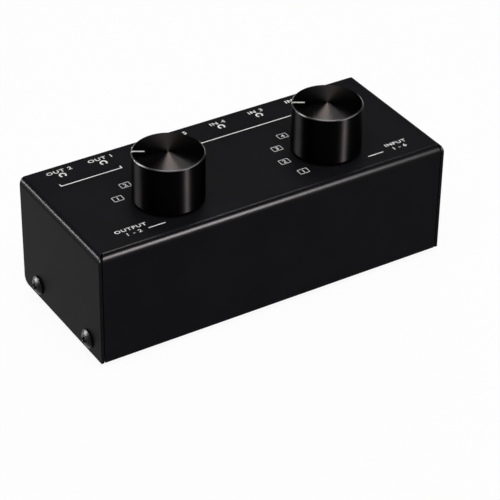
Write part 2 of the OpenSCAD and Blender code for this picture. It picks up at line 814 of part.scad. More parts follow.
module jack(i) {
    slot_x0 = plug_r - leaf_t;
    slot_z1 = jack_z + leaf_w / 2 + leaf_play;
    color("#161617") difference() {
        union() {
            translate([jack_x(i) - jack_w / 2, jack_front_y - jack_l, housing_z])
                cube([jack_w, jack_l, jack_h]);
            translate([jack_x(i), rear_y, jack_z]) rotate([90, 0, 0])
                cylinder(d = jack_nose_d, h = rear_y - jack_front_y + weld);
        }
        translate([jack_x(i), rear_y, jack_z]) rotate([90, 0, 0]) {
            post(plug_r, -cut, plug_depth);
            translate([0, 0, -cut])
                cylinder(r1 = plug_r + plug_chamfer + cut, r2 = plug_r, h = plug_chamfer + cut);
        }
        at_contacts(i) translate([slot_x0, -leaf_l / 2 - leaf_play, housing_z - cut])
            cube([leaf_x + leaf_t + leaf_play - slot_x0, leaf_l + 2 * leaf_play, slot_z1 - housing_z + cut]);
    }
}

module contacts(i) {
    color("#d8b860") at_contacts(i) {
        translate([leaf_x, -leaf_l / 2, jack_z - leaf_w / 2]) cube([leaf_t, leaf_l, leaf_w]);
        translate([leaf_x + weld, 0, jack_z - leaf_w / 2]) rotate(90) rotate_extrude(angle = 180)
            square([leaf_bump_r + weld, leaf_w]);
        translate([leaf_x, -leaf_leg_w / 2, pin_z]) cube([leaf_t, leaf_leg_w, jack_z - pin_z]);
    }
}

cover();
chassis();
back_panel();
cover_screws();
rubber_feet();
circuit_board();

for (name = ["output", "input"]) {
    knob(name);
    grub_screw(name);
    shaft(name);
    clip(name);
    rotor(name);
    detent_springs(name);
    detent_balls(name);
    wipers(name);
    housing(name);
    bushing(name);
    stop_ring(name);
    lock_washer(name);
    nut(name);
    wafer(name);
    terminals(name);
}

for (i = [0 : jack_count - 1]) {
    jack(i);
    contacts(i);
}
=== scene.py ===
"""Looks of an audio selector switch box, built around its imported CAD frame.

Everything is in metres, in the frame of the CAD: +X runs to the right along the front, +Y to the back
with the sockets, and +Z up along the knob axes. Sizes in the classes are in millimetres.
"""

import json
import logging
import math
from dataclasses import dataclass
from enum import Enum
from typing import Any, Callable, Iterable, Sequence

import bmesh
import bpy
from bmesh.types import BMesh, BMVert
from bpy.types import ID, Material, Node, NodeSocket, NodeTree, Object, World
from mathutils import Matrix, Vector


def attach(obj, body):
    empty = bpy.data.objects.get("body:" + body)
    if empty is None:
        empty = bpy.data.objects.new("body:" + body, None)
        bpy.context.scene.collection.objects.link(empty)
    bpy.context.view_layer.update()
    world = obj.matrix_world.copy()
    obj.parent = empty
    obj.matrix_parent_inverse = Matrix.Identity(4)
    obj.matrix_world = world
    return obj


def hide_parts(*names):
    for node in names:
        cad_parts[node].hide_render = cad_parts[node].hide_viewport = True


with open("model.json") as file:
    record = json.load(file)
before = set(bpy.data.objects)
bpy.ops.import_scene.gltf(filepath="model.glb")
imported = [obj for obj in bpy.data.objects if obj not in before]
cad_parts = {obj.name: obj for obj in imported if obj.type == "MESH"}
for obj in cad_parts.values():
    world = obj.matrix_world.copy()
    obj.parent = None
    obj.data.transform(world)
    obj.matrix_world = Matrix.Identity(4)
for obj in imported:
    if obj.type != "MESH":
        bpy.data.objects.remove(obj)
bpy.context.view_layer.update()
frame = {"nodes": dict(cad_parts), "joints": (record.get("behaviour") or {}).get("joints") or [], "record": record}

Point = tuple[float, float, float]
Plan = tuple[float, float]

MM = 0.001
WHITE = (1.0, 1.0, 1.0, 1.0)
UP, DOWN, TO_FRONT, TO_BACK = (0, 0, 1), (0, 0, -1), (0, -1, 0), (0, 1, 0)
SIDES = (-1, 1)
QUARTER = math.pi / 2

# Corners closer than this many millimetres are merged
SLIVER = 0.002
# Steps in a full turn of a small round shape, and in a quarter turn of a sheet's corner
ROUND_STEPS = 48
CORNER_STEPS = 8
# Degrees in each step of a fold
FOLD_STEP = 4.5

# Places that more than one class needs, in millimetres, and degrees from one dial number to the next
TOP = 39.5
SOCKET_X = (-49, -35, -21, -7, 7, 21, 35, 49)
SOCKET_PITCH = 14
SOCKET_Z = 31.3
KNOB_AXES = ((-28, -8), (28, -8))
DIAL_STEP = -30

log = logging.getLogger("selector_box")


# Numbers and nodes


def linear(code: str) -> tuple[float, float, float, float]:
    """Turns an sRGB hex colour into linear RGBA.

    Args:
        code: Colour as "#rrggbb".

    Returns:
        The linear colour with an alpha of 1.
    """
    parts = [int(code[i:i + 2], 16) / 255 for i in (1, 3, 5)]
    low, step, gain, power = 0.04045, 0.055, 12.92, 2.4
    r, g, b = (p / gain if p <= low else ((p + step) / (1 + step)) ** power for p in parts)
    return r, g, b, 1.0


def metres(*sizes: float) -> tuple[float, ...]:
    """Turns millimetres into metres."""
    return tuple(size * MM for size in sizes)


def per_metre(size: float) -> float:
    """Texture scale of a pattern whose cells are this many millimetres wide."""
    return 1 / (size * MM)


def polar(radius: float, degrees: float) -> Plan:
    """Plan position at a radius and an angle from +X."""
    return radius * math.cos(math.radians(degrees)), radius * math.sin(math.radians(degrees))


def direction(azimuth: float, elevation: float) -> Vector:
    """Direction by its degrees to the right of the front and above the table."""
    a, e = math.radians(azimuth), math.radians(elevation)
    return Vector((math.sin(a) * math.cos(e), -math.cos(a) * math.cos(e), math.sin(e)))


def empty_tree(owner: Material | World) -> NodeTree:
    """Gives a material or a world an empty node tree.

    Args:
        owner: Material or world.

    Returns:
        Its tree.
    """
    owner.use_nodes = True
    owner.node_tree.nodes.clear()
    return owner.node_tree


def put(tree: NodeTree, kind: str, given: dict[Any, Any] | None = None) -> Node:
    """Adds one node with its settings and links.

    Args:
        tree: Tree that gets the node.
        kind: Blender's name of the node type.
        given: Settings of the node, and what its inputs get by name or number: a value, an output
            socket, or a node whose first output is meant.

    Returns:
        The new node.
    """
    node = tree.nodes.new(kind)
    for key, value in (given or {}).items():
        source = value.outputs[0] if isinstance(value, Node) else value
        if isinstance(key, str) and key in node.bl_rna.properties:
            setattr(node, key, value)
        elif isinstance(source, NodeSocket):
            tree.links.new(source, node.inputs[key])
        else:
            node.inputs[key].default_value = value
    return node


# Shapes


def add_object(name: str, data: ID) -> Object:
    """Adds an object to the scene.

    Args:
        name: Name of the object.
        data: Its mesh, camera, lamp or text.

    Returns:
        The object at the origin.
    """
    added = bpy.data.objects.new(name, data)
    bpy.context.scene.collection.objects.link(added)
    return added


def piece_from(name: str, shape: BMesh) -> Object:
    """Makes a piece at the origin from a shape drawn in millimetres.

    Args:
        name: Name of the piece.
        shape: The drawn shape, which is freed.

    Returns:
        The piece, linked to the scene, in metres.
    """
    shape.transform(Matrix.Scale(MM, 4))
    mesh = bpy.data.meshes.new(name)
    shape.to_mesh(mesh)
    shape.free()
    return add_object(name, mesh)


def bake(piece: Object) -> None:
    """Turns a piece and its modifiers into a plain mesh.

    Args:
        piece: Piece with modifiers.
    """
    graph = bpy.context.evaluated_depsgraph_get()
    graph.update()
    old = piece.data
    piece.data = bpy.data.meshes.new_from_object(piece.evaluated_get(graph))
    piece.modifiers.clear()
    bpy.data.meshes.remove(old)
    piece.data.name = piece.name


def drop(piece: Object) -> None:
    """Removes a helper object and its mesh.

    Args:
        piece: The helper object.
    """
    mesh = piece.data
    bpy.data.objects.remove(piece)
    bpy.data.meshes.remove(mesh)


def merge(shape: BMesh, gap: float) -> None:
    """Merges corners that lie within a gap of each other, and the slivers between them."""
    bmesh.ops.remove_doubles(shape, verts=shape.verts, dist=gap)
    bmesh.ops.dissolve_degenerate(shape, dist=gap, edges=shape.edges)


def carve(piece: Object, cutters: Iterable[Object], operation: str = "DIFFERENCE") -> None:
    """Cuts shapes out of a piece, or joins them to it, and removes those shapes.

    Args:
        piece: Closed piece that is changed. The slivers that cutting leaves are merged.
        cutters: Shapes to cut or join.
        operation: Boolean operation.
    """
    for cutter in cutters:
        cutting = piece.modifiers.new("carve", "BOOLEAN")
        cutting.operation, cutting.solver, cutting.object = operation, "EXACT", cutter
        bake(piece)
        drop(cutter)
    shape = bmesh.new()
    shape.from_mesh(piece.data)
    merge(shape, SLIVER * MM)
    bmesh.ops.recalc_face_normals(shape, faces=shape.faces)
    shape.to_mesh(piece.data)
    shape.free()


def soften(piece: Object, width: float) -> None:
    """Rounds the sharp edges of a piece.

    Args:
        piece: Piece that is changed.
        width: Width of the rounding in millimetres.
    """
    sharp, segments = 40, 2
    rounding = piece.modifiers.new("soften", "BEVEL")
    rounding.width, rounding.segments = width * MM, segments
    rounding.limit_method, rounding.angle_limit = "ANGLE", math.radians(sharp)
    rounding.use_clamp_overlap = True
    bake(piece)


def shade(piece: Object, angle: float = 32) -> None:
    """Shades a piece smooth, with flat faces kept flat.

    Args:
        piece: Piece that is shaded.
        angle: Edges sharper than this many degrees stay sharp.
    """
    piece.data.shade_smooth()
    piece.data.set_sharp_from_angle(angle=math.radians(angle))
    weighting = piece.modifiers.new("weights", "WEIGHTED_NORMAL")
    weighting.keep_sharp, weighting.weight = True, 100
    bake(piece)


def lathe(profile: Sequence[Plan], steps: int = ROUND_STEPS) -> BMesh:
    """Turns a profile round +Z.

    Args:
        profile: Radius and height of each point, from the lower end of the axis outwards and up.
        steps: Steps in a full turn.

    Returns:
        The turned solid, in millimetres.
    """
    shape = bmesh.new()
    rings = []
    for radius, height in profile:
        count = 1 if radius == 0 else steps
        rings.append([shape.verts.new((*polar(radius, 360 * i / steps), height)) for i in range(count)])
    for low, high in zip(rings, rings[1:]):
        for i in range(steps):
            j = i + 1
            corners = [low[i % len(low)], low[j % len(low)], high[j % len(high)], high[i % len(high)]]
            shape.faces.new(list(dict.fromkeys(corners)))
    bmesh.ops.recalc_face_normals(shape, faces=shape.faces)
    return shape


def rod(radius: float, low: float, high: float, steps: int = ROUND_STEPS) -> BMesh:
    """Makes an upright rod, in millimetres."""
    return lathe([(0, low), (radius, low), (radius, high), (0, high)], steps)


def prism(outline: Sequence[Plan], low: float, high: float) -> BMesh:
    """Raises a plan outline between two heights.

    Args:
        outline: Points of the outline, anticlockwise.
        low: Lower height in millimetres.
        high: Upper height in millimetres.

    Returns:
        The solid, in millimetres.
    """
    shape = bmesh.new()
    floor = [shape.verts.new((x, y, low)) for x, y in outline]
    roof = [shape.verts.new((x, y, high)) for x, y in outline]
    shape.faces.new(floor[::-1])
    shape.faces.new(roof)
    for i in range(len(outline)):
        j = (i + 1) % len(outline)
        shape.faces.new((floor[i], floor[j], roof[j], roof[i]))
    return shape


def drill(axis: Point, radius: float, along: int, reach: float, steps: int = ROUND_STEPS) -> Object:
    """Makes a cutter for a round hole.

    Args:
        axis: Middle of the hole in millimetres.
        radius: Radius of the hole.
        along: Number of the axis that the hole follows.
        reach: Half length of the cutter.
        steps: Steps in a full turn.

    Returns:
        The cutter.
    """
    turns = (Matrix.Rotation(QUARTER, 4, "Y"), Matrix.Rotation(QUARTER, 4, "X"), Matrix.Identity(4))
    shape = rod(radius, -reach, reach, steps)
    shape.transform(Matrix.Translation(axis) @ turns[along])
    return piece_from("drill", shape)


def rectangle(x0: float, y0: float, x1: float, y1: float) -> list[Plan]:
    """Corners of a rectangle, anticlockwise."""
    return [(x0, y0), (x1, y0), (x1, y1), (x0, y1)]


def arc(centre: Plan, radius: float, first: float, last: float, steps: int) -> list[Plan]:
    """Points of an arc.

    Args:
        centre: Middle of the arc.
        radius: Radius of the arc.
        first: First angle in degrees.
        last: Last angle in degrees.
        steps: Steps from the first point to the last.

    Returns:
        The points, both ends included.
    """
    turn = (last - first) / steps
    spots = (polar(radius, first + turn * i) for i in range(steps + 1))
    return [(centre[0] + x, centre[1] + y) for x, y in spots]


def rounded(width: float, height: float, radius: float) -> list[Plan]:
    """Outline of a rectangle with round corners, about the origin.

    Args:
        width: Size along X.
        height: Size along Y.
        radius: Radius of the corners.

    Returns:
        The outline, anticlockwise.
    """
    steps = 5
    x, y = width / 2 - radius, height / 2 - radius
    middles = [(x, y), (-x, y), (-x, -y), (x, -y)]
    return [p for k, middle in enumerate(middles) for p in arc(middle, radius, 90 * k, 90 * k + 90, steps)]


# Finishes


class Grain(Enum):
    """How the fine relief of a surface runs."""

    CLOUD = "the same in every direction, as in sprayed paint"
    ROLLED = "drawn out along X, as in rolled strip"
    TURNED = "rings round an upright axis, as a lathe leaves them"
    PITTED = "small round pits, as from an eroded mould"
    TRACKS = "straight runs with gaps, as copper under a mask"


@dataclass(frozen=True)
class Finish:
    """A surface finish: a colour that drifts, a fine relief and a gloss that follows it.

    Attributes:
        name: Name of the material.
        colour: Main colour, sRGB hex.
        drift: Colour that it drifts to, sRGB hex.
        drift_mm: Size of the patches in which it drifts.
        roughness: Lowest and highest roughness.
        grain: How the relief runs.
        grain_mm: Size of one grain, line or pit.
        depth_um: Depth of the relief in thousandths of a millimetre.
        metallic: 1 for bare metal.
        ior: Refractive index.
        specular: Level of the mirror reflection of a finish that isn't metal.
        constants: Other values of the shader's own sockets.
        axis: Plan position of the turning axis in millimetres.
        dome: Slope of the turned face, which falls towards its rim.
        bend_roughness: Roughness on the bends of a sheet, where it differs.
    """

    name: str
    colour: str
    drift: str
    drift_mm: float
    roughness: Plan
    grain: Grain
    grain_mm: float
    depth_um: float
    metallic: float = 0.0
    ior: float = 1.5
    specular: float = 0.5
    constants: tuple[tuple[str, Any], ...] = ()
    axis: Plan | None = None
    dome: float = 0.0
    bend_roughness: float | None = None

    def material(self) -> Material:
        """Finds or makes the material of this finish."""
        return bpy.data.materials.get(self.name) or self._make()

    def _make(self) -> Material:
        """Builds the node tree of the material.

        Returns:
            The new material.
        """
        material = bpy.data.materials.new(self.name)
        tree = empty_tree(material)
        place = put(tree, "ShaderNodeTexCoord").outputs["Object"]
        given = {"Metallic": self.metallic, "IOR": self.ior, "Specular IOR Level": self.specular}
        given.update(self.constants)
        if self.axis:
            middle = metres(*self.axis, 0)
            offset = put(tree, "ShaderNodeVectorMath", {"operation": "SUBTRACT", 0: place, 1: middle})
            place = offset.outputs[0]
            # The lathe's lines run round the axis, so light spreads across them
            given["Tangent"] = put(tree, "ShaderNodeVectorMath",
                                   {"operation": "CROSS_PRODUCT", 0: UP, 1: place})
        relief = self._relief(tree, place)
        patches = put(tree, "ShaderNodeTexNoise",
                      {"Vector": place, "Scale": per_metre(self.drift_mm), "Detail": 3.0})
        tone = put(tree, "ShaderNodeMapRange", {"Value": patches, "From Min": 0.35, "From Max": 0.65})
        colour = put(tree, "ShaderNodeMix",
                     {"data_type": "RGBA", 0: tone, 6: linear(self.colour), 7: linear(self.drift)})
        given["Base Color"] = colour.outputs[2]
        given["Roughness"] = put(tree, "ShaderNodeMapRange",
                                 {"Value": relief, "From Min": 0.25, "From Max": 0.75,
                                  "To Min": self.roughness[0], "To Max": self.roughness[1]})
        if self.bend_roughness is not None:
            given["Roughness"] = self._on_bends(tree, given["Roughness"])
        bump = {"Height": relief, "Strength": 1.0, "Distance": self.depth_um * MM * MM}
        if self.dome:
            bump["Normal"] = put(tree, "ShaderNodeBump",
                                 {"invert": True, "Height": self._radius(tree, place), "Strength": 1.0,
                                  "Distance": self.dome})
        given["Normal"] = put(tree, "ShaderNodeBump", bump)
        shader = put(tree, "ShaderNodeBsdfPrincipled", given)
        put(tree, "ShaderNodeOutputMaterial", {"Surface": shader})
        return material

    @staticmethod
    def _radius(tree: NodeTree, place: NodeSocket) -> NodeSocket:
        """Adds the nodes of the distance from the upright axis."""
        flat = put(tree, "ShaderNodeVectorMath", {"operation": "MULTIPLY", 0: place, 1: (1, 1, 0)})
        return put(tree, "ShaderNodeVectorMath", {"operation": "LENGTH", 0: flat}).outputs["Value"]

    def _on_bends(self, tree: NodeTree, roughness: Node) -> Node:
        """Adds the nodes that change the roughness on the bends of a sheet.

        Args:
            tree: Tree of the material.
            roughness: Roughness of the flat panels.

        Returns:
            The node with the roughness of the whole sheet.
        """
        halfway = 0.5
        facing = put(tree, "ShaderNodeNewGeometry").outputs["Normal"]
        up = put(tree, "ShaderNodeSeparateXYZ", {0: facing}).outputs[2]
        # A bend looks halfway between up and sideways
        slant = put(tree, "ShaderNodeMath", {"operation": "PINGPONG", 0: up, 1: halfway})
        share = put(tree, "ShaderNodeMapRange", {"Value": slant, "From Min": 0.15, "From Max": 0.35})
        return put(tree, "ShaderNodeMix",
                   {"data_type": "FLOAT", 0: share, 2: roughness, 3: self.bend_roughness})

    def _relief(self, tree: NodeTree, place: NodeSocket) -> Node:
        """Adds the nodes of the relief.

        Args:
            tree: Tree of the material.
            place: Position on the piece.

        Returns:
            The node with the height of the relief, from 0 to 1.
        """
        scale, drawn_out = per_metre(self.grain_mm), (0.05, 1, 1)
        if self.grain is Grain.PITTED:
            return put(tree, "ShaderNodeTexVoronoi", {"Vector": place, "Scale": scale})
        if self.grain is Grain.TRACKS:
            return put(tree, "ShaderNodeTexBrick",
                       {"Vector": place, "Scale": scale, "Color1": WHITE, "Color2": (0.8, 0.8, 0.8, 1),
                        "Mortar": (0, 0, 0, 1), "Mortar Size": 0.1, "Brick Width": 6.0, "Row Height": 1.0})
        noise = {"Vector": place, "Scale": scale, "Detail": 2.0}
        if self.grain is Grain.TURNED:
            height = put(tree, "ShaderNodeSeparateXYZ", {0: place}).outputs[2]
            radius = self._radius(tree, place)
            along = put(tree, "ShaderNodeMath", {"operation": "ADD", 0: radius, 1: height})
            noise = {"noise_dimensions": "1D", "W": along, "Scale": scale, "Detail": 2.0}
        elif self.grain is Grain.ROLLED:
            noise["Vector"] = put(tree, "ShaderNodeMapping", {"Vector": place, "Scale": drawn_out})
        return put(tree, "ShaderNodeTexNoise", noise)


# Satin black paint, sprayed on steel sheet and baked: nearly black, with a soft gloss that lights up
# only along the folds, where it draws smoother, and a faint orange peel. The peel is drawn at 0.9 mm
# so that it shows.
CASE_PAINT = Finish("satin_black_paint_on_steel", "#131316", "#161619", 14, (0.28, 0.33), Grain.CLOUD, 0.9,
                    0.5, specular=0.014, bend_roughness=0.26)
# Black oxide on steel: a dark grey metal skin with worn, slightly shiny crests.
BLACK_OXIDE = Finish("black_oxide_steel", "#1c1c1d", "#151516", 1.2, (0.3, 0.44), Grain.CLOUD, 0.4, 6,
                     metallic=1.0)
# ABS from an eroded mould: black, with a matt, finely pitted skin.
MOULDED_ABS = Finish("moulded_black_abs", "#161617", "#1c1c1d", 5, (0.42, 0.56), Grain.PITTED, 0.35, 8,
                     specular=0.06)
# Moulded rubber: dull black that greys a little where it is rubbed.
FOOT_RUBBER = Finish("moulded_rubber", "#181818", "#222221", 3, (0.72, 0.88), Grain.PITTED, 0.5, 20,
                     ior=1.52, specular=0.03)
# Screen printed epoxy ink: flat white that covers a little unevenly.
SCREEN_INK = Finish("screen_printed_white_ink", "#f0f0ee", "#e6e6e4", 1.5, (0.45, 0.6), Grain.CLOUD, 0.25,
                    1.5, specular=0.04)
# Enamel wiped into a milled slot: warm white with a soft gloss.
INDEX_ENAMEL = Finish("white_index_enamel", "#d2d2ce", "#c6c6c1", 1.0, (0.3, 0.42), Grain.CLOUD, 0.4, 4,
                      specular=0.04)
# Zinc plate with a clear passivation: pale grey metal with cloudy blue and straw tints.
ZINC_PLATE = Finish("zinc_plated_steel", "#b9bcc2", "#c4c0b2", 2.5, (0.24, 0.4), Grain.CLOUD, 0.3, 4,
                    metallic=1.0)
# Ground and polished ball steel: bright, with hair-fine scratches.
BALL_STEEL = Finish("polished_ball_steel", "#c9cacd", "#bfc0c4", 0.8, (0.06, 0.14), Grain.ROLLED, 0.1, 0.5,
                    metallic=1.0)
# Nickel plated on brass: warm silver with a faintly clouded gloss.
NICKEL_BRASS = Finish("nickel_plated_brass", "#c6c2b6", "#b8b4a6", 3, (0.2, 0.34), Grain.CLOUD, 0.3, 3,
                      metallic=1.0)
# Rolled phosphor bronze strip: golden brown with lines along the rolling direction.
PHOSPHOR_BRONZE = Finish("rolled_phosphor_bronze", "#c99a5b", "#b88748", 1.5, (0.26, 0.42), Grain.ROLLED,
                         0.15, 3, metallic=1.0)
# Moulded natural nylon: milky, slightly waxy, with light just under the skin.
NATURAL_NYLON = Finish("moulded_natural_nylon", "#ddd6c2", "#d2cab3", 4, (0.36, 0.46), Grain.CLOUD, 0.6, 6,
                       ior=1.53, constants=(("Subsurface Weight", 0.15), ("Subsurface Scale", 0.0008)))
# Paper phenolic sheet: brown resin with paler paper fibres that run along the sheet.
PAPER_PHENOLIC = Finish("paper_phenolic_sheet", "#7a4a28", "#8f5c36", 1.2, (0.4, 0.52), Grain.ROLLED, 0.25,
                        6, ior=1.6)
# Green solder mask on glass epoxy: glossy lacquer that rises over the copper tracks.
SOLDER_MASK = Finish("solder_mask_on_glass_epoxy", "#155a30", "#1c6b3a", 8, (0.22, 0.34), Grain.TRACKS, 1.6,
                     30, ior=1.55)


def knob_finishes(axis: Plan) -> tuple[Finish, Finish, Finish]:
    """Finishes of a turned knob. Their rings are drawn far enough apart to show.

    Args:
        axis: Plan position of the turning axis in millimetres.

    Returns:
        The finishes of the side, the chamfer and the top face.
    """
    hand = "left" if axis[0] < 0 else "right"
    across = ("Anisotropic Rotation", 0.25)
    # The dye in the oxide skin also darkens what the metal mirrors at a slant
    dyed = ("Specular Tint", (0.55, 0.55, 0.55, 1.0))
    # Black anodised aluminium, turned: dark, with soft streaks of light down the side and faint rings.
    side = Finish(f"black_anodised_turned_aluminium_{hand}", "#080707", "#060606", 6, (0.42, 0.5),
                  Grain.TURNED, 0.35, 1.2, metallic=1.0,
                  constants=(("Anisotropic", 1.0), across, dyed), axis=axis)
    # Bare aluminium, cut with a diamond after the anodising: a bright ring with hardly a line in it.
    chamfer = Finish(f"diamond_cut_aluminium_{hand}", "#48484a", "#434345", 4, (0.24, 0.28),
                     Grain.TURNED, 0.12, 0.1, metallic=1.0, axis=axis)
    # Black anodised aluminium, faced on the lathe: light fans out across its fine rings.
    face = Finish(f"black_anodised_faced_aluminium_{hand}", "#090808", "#070707", 6, (0.3, 0.33),
                  Grain.TURNED, 0.35, 1.2, metallic=1.0,
                  constants=(("Anisotropic", 0.9), across, dyed), axis=axis, dome=0.2)
    return side, chamfer, face


NODE_FINISH = {
    "case_paint": CASE_PAINT, "screw_steel": BLACK_OXIDE, "plated_steel": ZINC_PLATE,
    "ball_steel": BALL_STEEL, "plated_brass": NICKEL_BRASS, "contact_bronze": PHOSPHOR_BRONZE,
    "moulded_black": MOULDED_ABS, "rotor_nylon": NATURAL_NYLON, "wafer_phenolic": PAPER_PHENOLIC,
    "board": SOLDER_MASK, "foot_rubber": FOOT_RUBBER, "knob_aluminium": BLACK_OXIDE,
}


def settle(piece: Object, body: str, nodes: Sequence[str] = ()) -> None:
    """Puts a finished piece on its body and reports it.

    Args:
        piece: The finished piece.
        body: CAD body that carries it.
        nodes: CAD nodes that the piece stands for.
    """
    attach(piece, body)
    if nodes:
        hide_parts(*nodes)
    log.info("%s: %d faces on %s", piece.name, len(piece.data.polygons), body)


# Copies set out by geometry trees


class Layout(Enum):
    """How the copies of a shape are set out, with the named inputs that each way takes."""

    ROW = {"Copies": "NodeSocketInt", "First place": "NodeSocketVector", "Pitch": "NodeSocketVector"}
    CORNERS = {"Middle": "NodeSocketVector", "Spacing X": "NodeSocketFloat", "Spacing Y": "NodeSocketFloat",
               "Turn outwards": "NodeSocketFloat"}
    ARC = {"Copies": "NodeSocketInt", "Middle": "NodeSocketVector", "Radius": "NodeSocketFloat",
           "First angle": "NodeSocketFloat", "Step": "NodeSocketFloat"}


@dataclass
class Copies:
    """Copies of one shape, set out by a geometry tree and baked to a plain mesh.

    Attributes:
        name: Name of the finished piece.
        layout: How the copies are set out.
        shape: Shape that is copied. It is removed afterwards.
        finish: Finish of the copies.
        sizes: Values of the layout's inputs, in metres and radians.
    """

    name: str
    layout: Layout
    shape: Object
    finish: Finish
    sizes: dict[str, Any]

    def make(self) -> Object:
        """Runs the tree and keeps its result.

        Returns:
            The finished piece.
        """
        tree = bpy.data.node_groups.new(f"{self.name}_copies", "GeometryNodeTree")
        sockets = {"Shape": "NodeSocketObject", "Finish": "NodeSocketMaterial", **self.layout.value}
        made = {n: tree.interface.new_socket(n, in_out="INPUT", socket_type=k) for n, k in sockets.items()}
        tree.interface.new_socket("Geometry", in_out="OUTPUT", socket_type="NodeSocketGeometry")
        self._grow(tree)
        piece = piece_from(self.name, bmesh.new())
        setting = piece.modifiers.new("copies", "NODES")
        setting.node_group = tree
        for name, value in {"Shape": self.shape, "Finish": self.finish.material(), **self.sizes}.items():
            setting[made[name].identifier] = value
        bake(piece)
        drop(self.shape)
        shade(piece)
        return piece

    def _grow(self, tree: NodeTree) -> None:
        """Adds the nodes that set out the copies, make them real and give them their finish.

        Args:
            tree: Tree with its inputs in place.
        """
        ways = {Layout.ROW: self._row, Layout.CORNERS: self._corners, Layout.ARC: self._arc}
        given = put(tree, "NodeGroupInput").outputs
        shape = put(tree, "GeometryNodeObjectInfo", {"Object": given["Shape"]})
        copies = put(tree, "GeometryNodeInstanceOnPoints",
                     {"Instance": shape.outputs["Geometry"], **ways[self.layout](tree, given)})
        real = put(tree, "GeometryNodeRealizeInstances", {0: copies})
        dressed = put(tree, "GeometryNodeSetMaterial", {"Geometry": real, "Material": given["Finish"]})
        put(tree, "NodeGroupOutput", {0: dressed})

    @staticmethod
    def _row(tree: NodeTree, given: Any) -> dict[str, Node]:
        """Adds the places of a straight row of copies."""
        ends = {"Start Location": given["First place"], "Offset": given["Pitch"]}
        return {"Points": put(tree, "GeometryNodeMeshLine", {"Count": given["Copies"], **ends})}

    @staticmethod
    def _corners(tree: NodeTree, given: Any) -> dict[str, Node]:
        """Adds the corners of a rectangle, where the copies turn outwards to its ends.

        Args:
            tree: Tree of the copies.
            given: Inputs of the tree.

        Returns:
            The nodes with the places and the turns.
        """
        sides = {"Size X": given["Spacing X"], "Size Y": given["Spacing Y"]}
        grid = put(tree, "GeometryNodeMeshGrid", {"Vertices X": 2, "Vertices Y": 2, **sides})
        spots = put(tree, "GeometryNodeSetPosition", {"Geometry": grid, "Offset": given["Middle"]})
        here = put(tree, "ShaderNodeSeparateXYZ", {0: put(tree, "GeometryNodeInputPosition")})
        end = put(tree, "ShaderNodeMath", {"operation": "SIGN", 0: here})
        angle = put(tree, "ShaderNodeMath", {"operation": "MULTIPLY", 0: end, 1: given["Turn outwards"]})
        euler = put(tree, "ShaderNodeCombineXYZ", {"Y": angle})
        return {"Points": spots, "Rotation": put(tree, "FunctionNodeEulerToRotation", {0: euler})}

    @staticmethod
    def _arc(tree: NodeTree, given: Any) -> dict[str, Node]:
        """Adds the places of copies along an arc.

        Args:
            tree: Tree of the copies.
            given: Inputs of the tree.

        Returns:
            The node with the places.
        """
        line = put(tree, "GeometryNodeMeshLine", {"Count": given["Copies"]})
        number = put(tree, "GeometryNodeInputIndex")
        angle = put(tree, "ShaderNodeMath",
                    {"operation": "MULTIPLY_ADD", 0: number, 1: given["Step"], 2: given["First angle"]})
        cosine = put(tree, "ShaderNodeMath", {"operation": "COSINE", 0: angle})
        sine = put(tree, "ShaderNodeMath", {"operation": "SINE", 0: angle})
        way = put(tree, "ShaderNodeCombineXYZ", {"X": cosine, "Y": sine})
        out = put(tree, "ShaderNodeVectorMath", {"operation": "SCALE", 0: way, "Scale": given["Radius"]})
        spot = put(tree, "ShaderNodeVectorMath", {"operation": "ADD", 0: out, 1: given["Middle"]})
        return {"Points": put(tree, "GeometryNodeSetPosition", {"Geometry": line, "Position": spot})}


def socket_row(name: str, shape: Object, finish: Finish, y: float = 0) -> Object:
    """Copies a shape to the place of every socket.

    Args:
        name: Name of the finished piece.
        shape: Shape that is copied. It is removed afterwards.
        finish: Finish of the copies.
        y: How far back they are moved, in millimetres.

    Returns:
        The finished piece.
    """
    sizes = {"Copies": len(SOCKET_X), "First place": metres(SOCKET_X[0], y, 0),
             "Pitch": metres(SOCKET_PITCH, 0, 0)}
    return Copies(name, Layout.ROW, shape, finish, sizes).make()


# Sheet metal


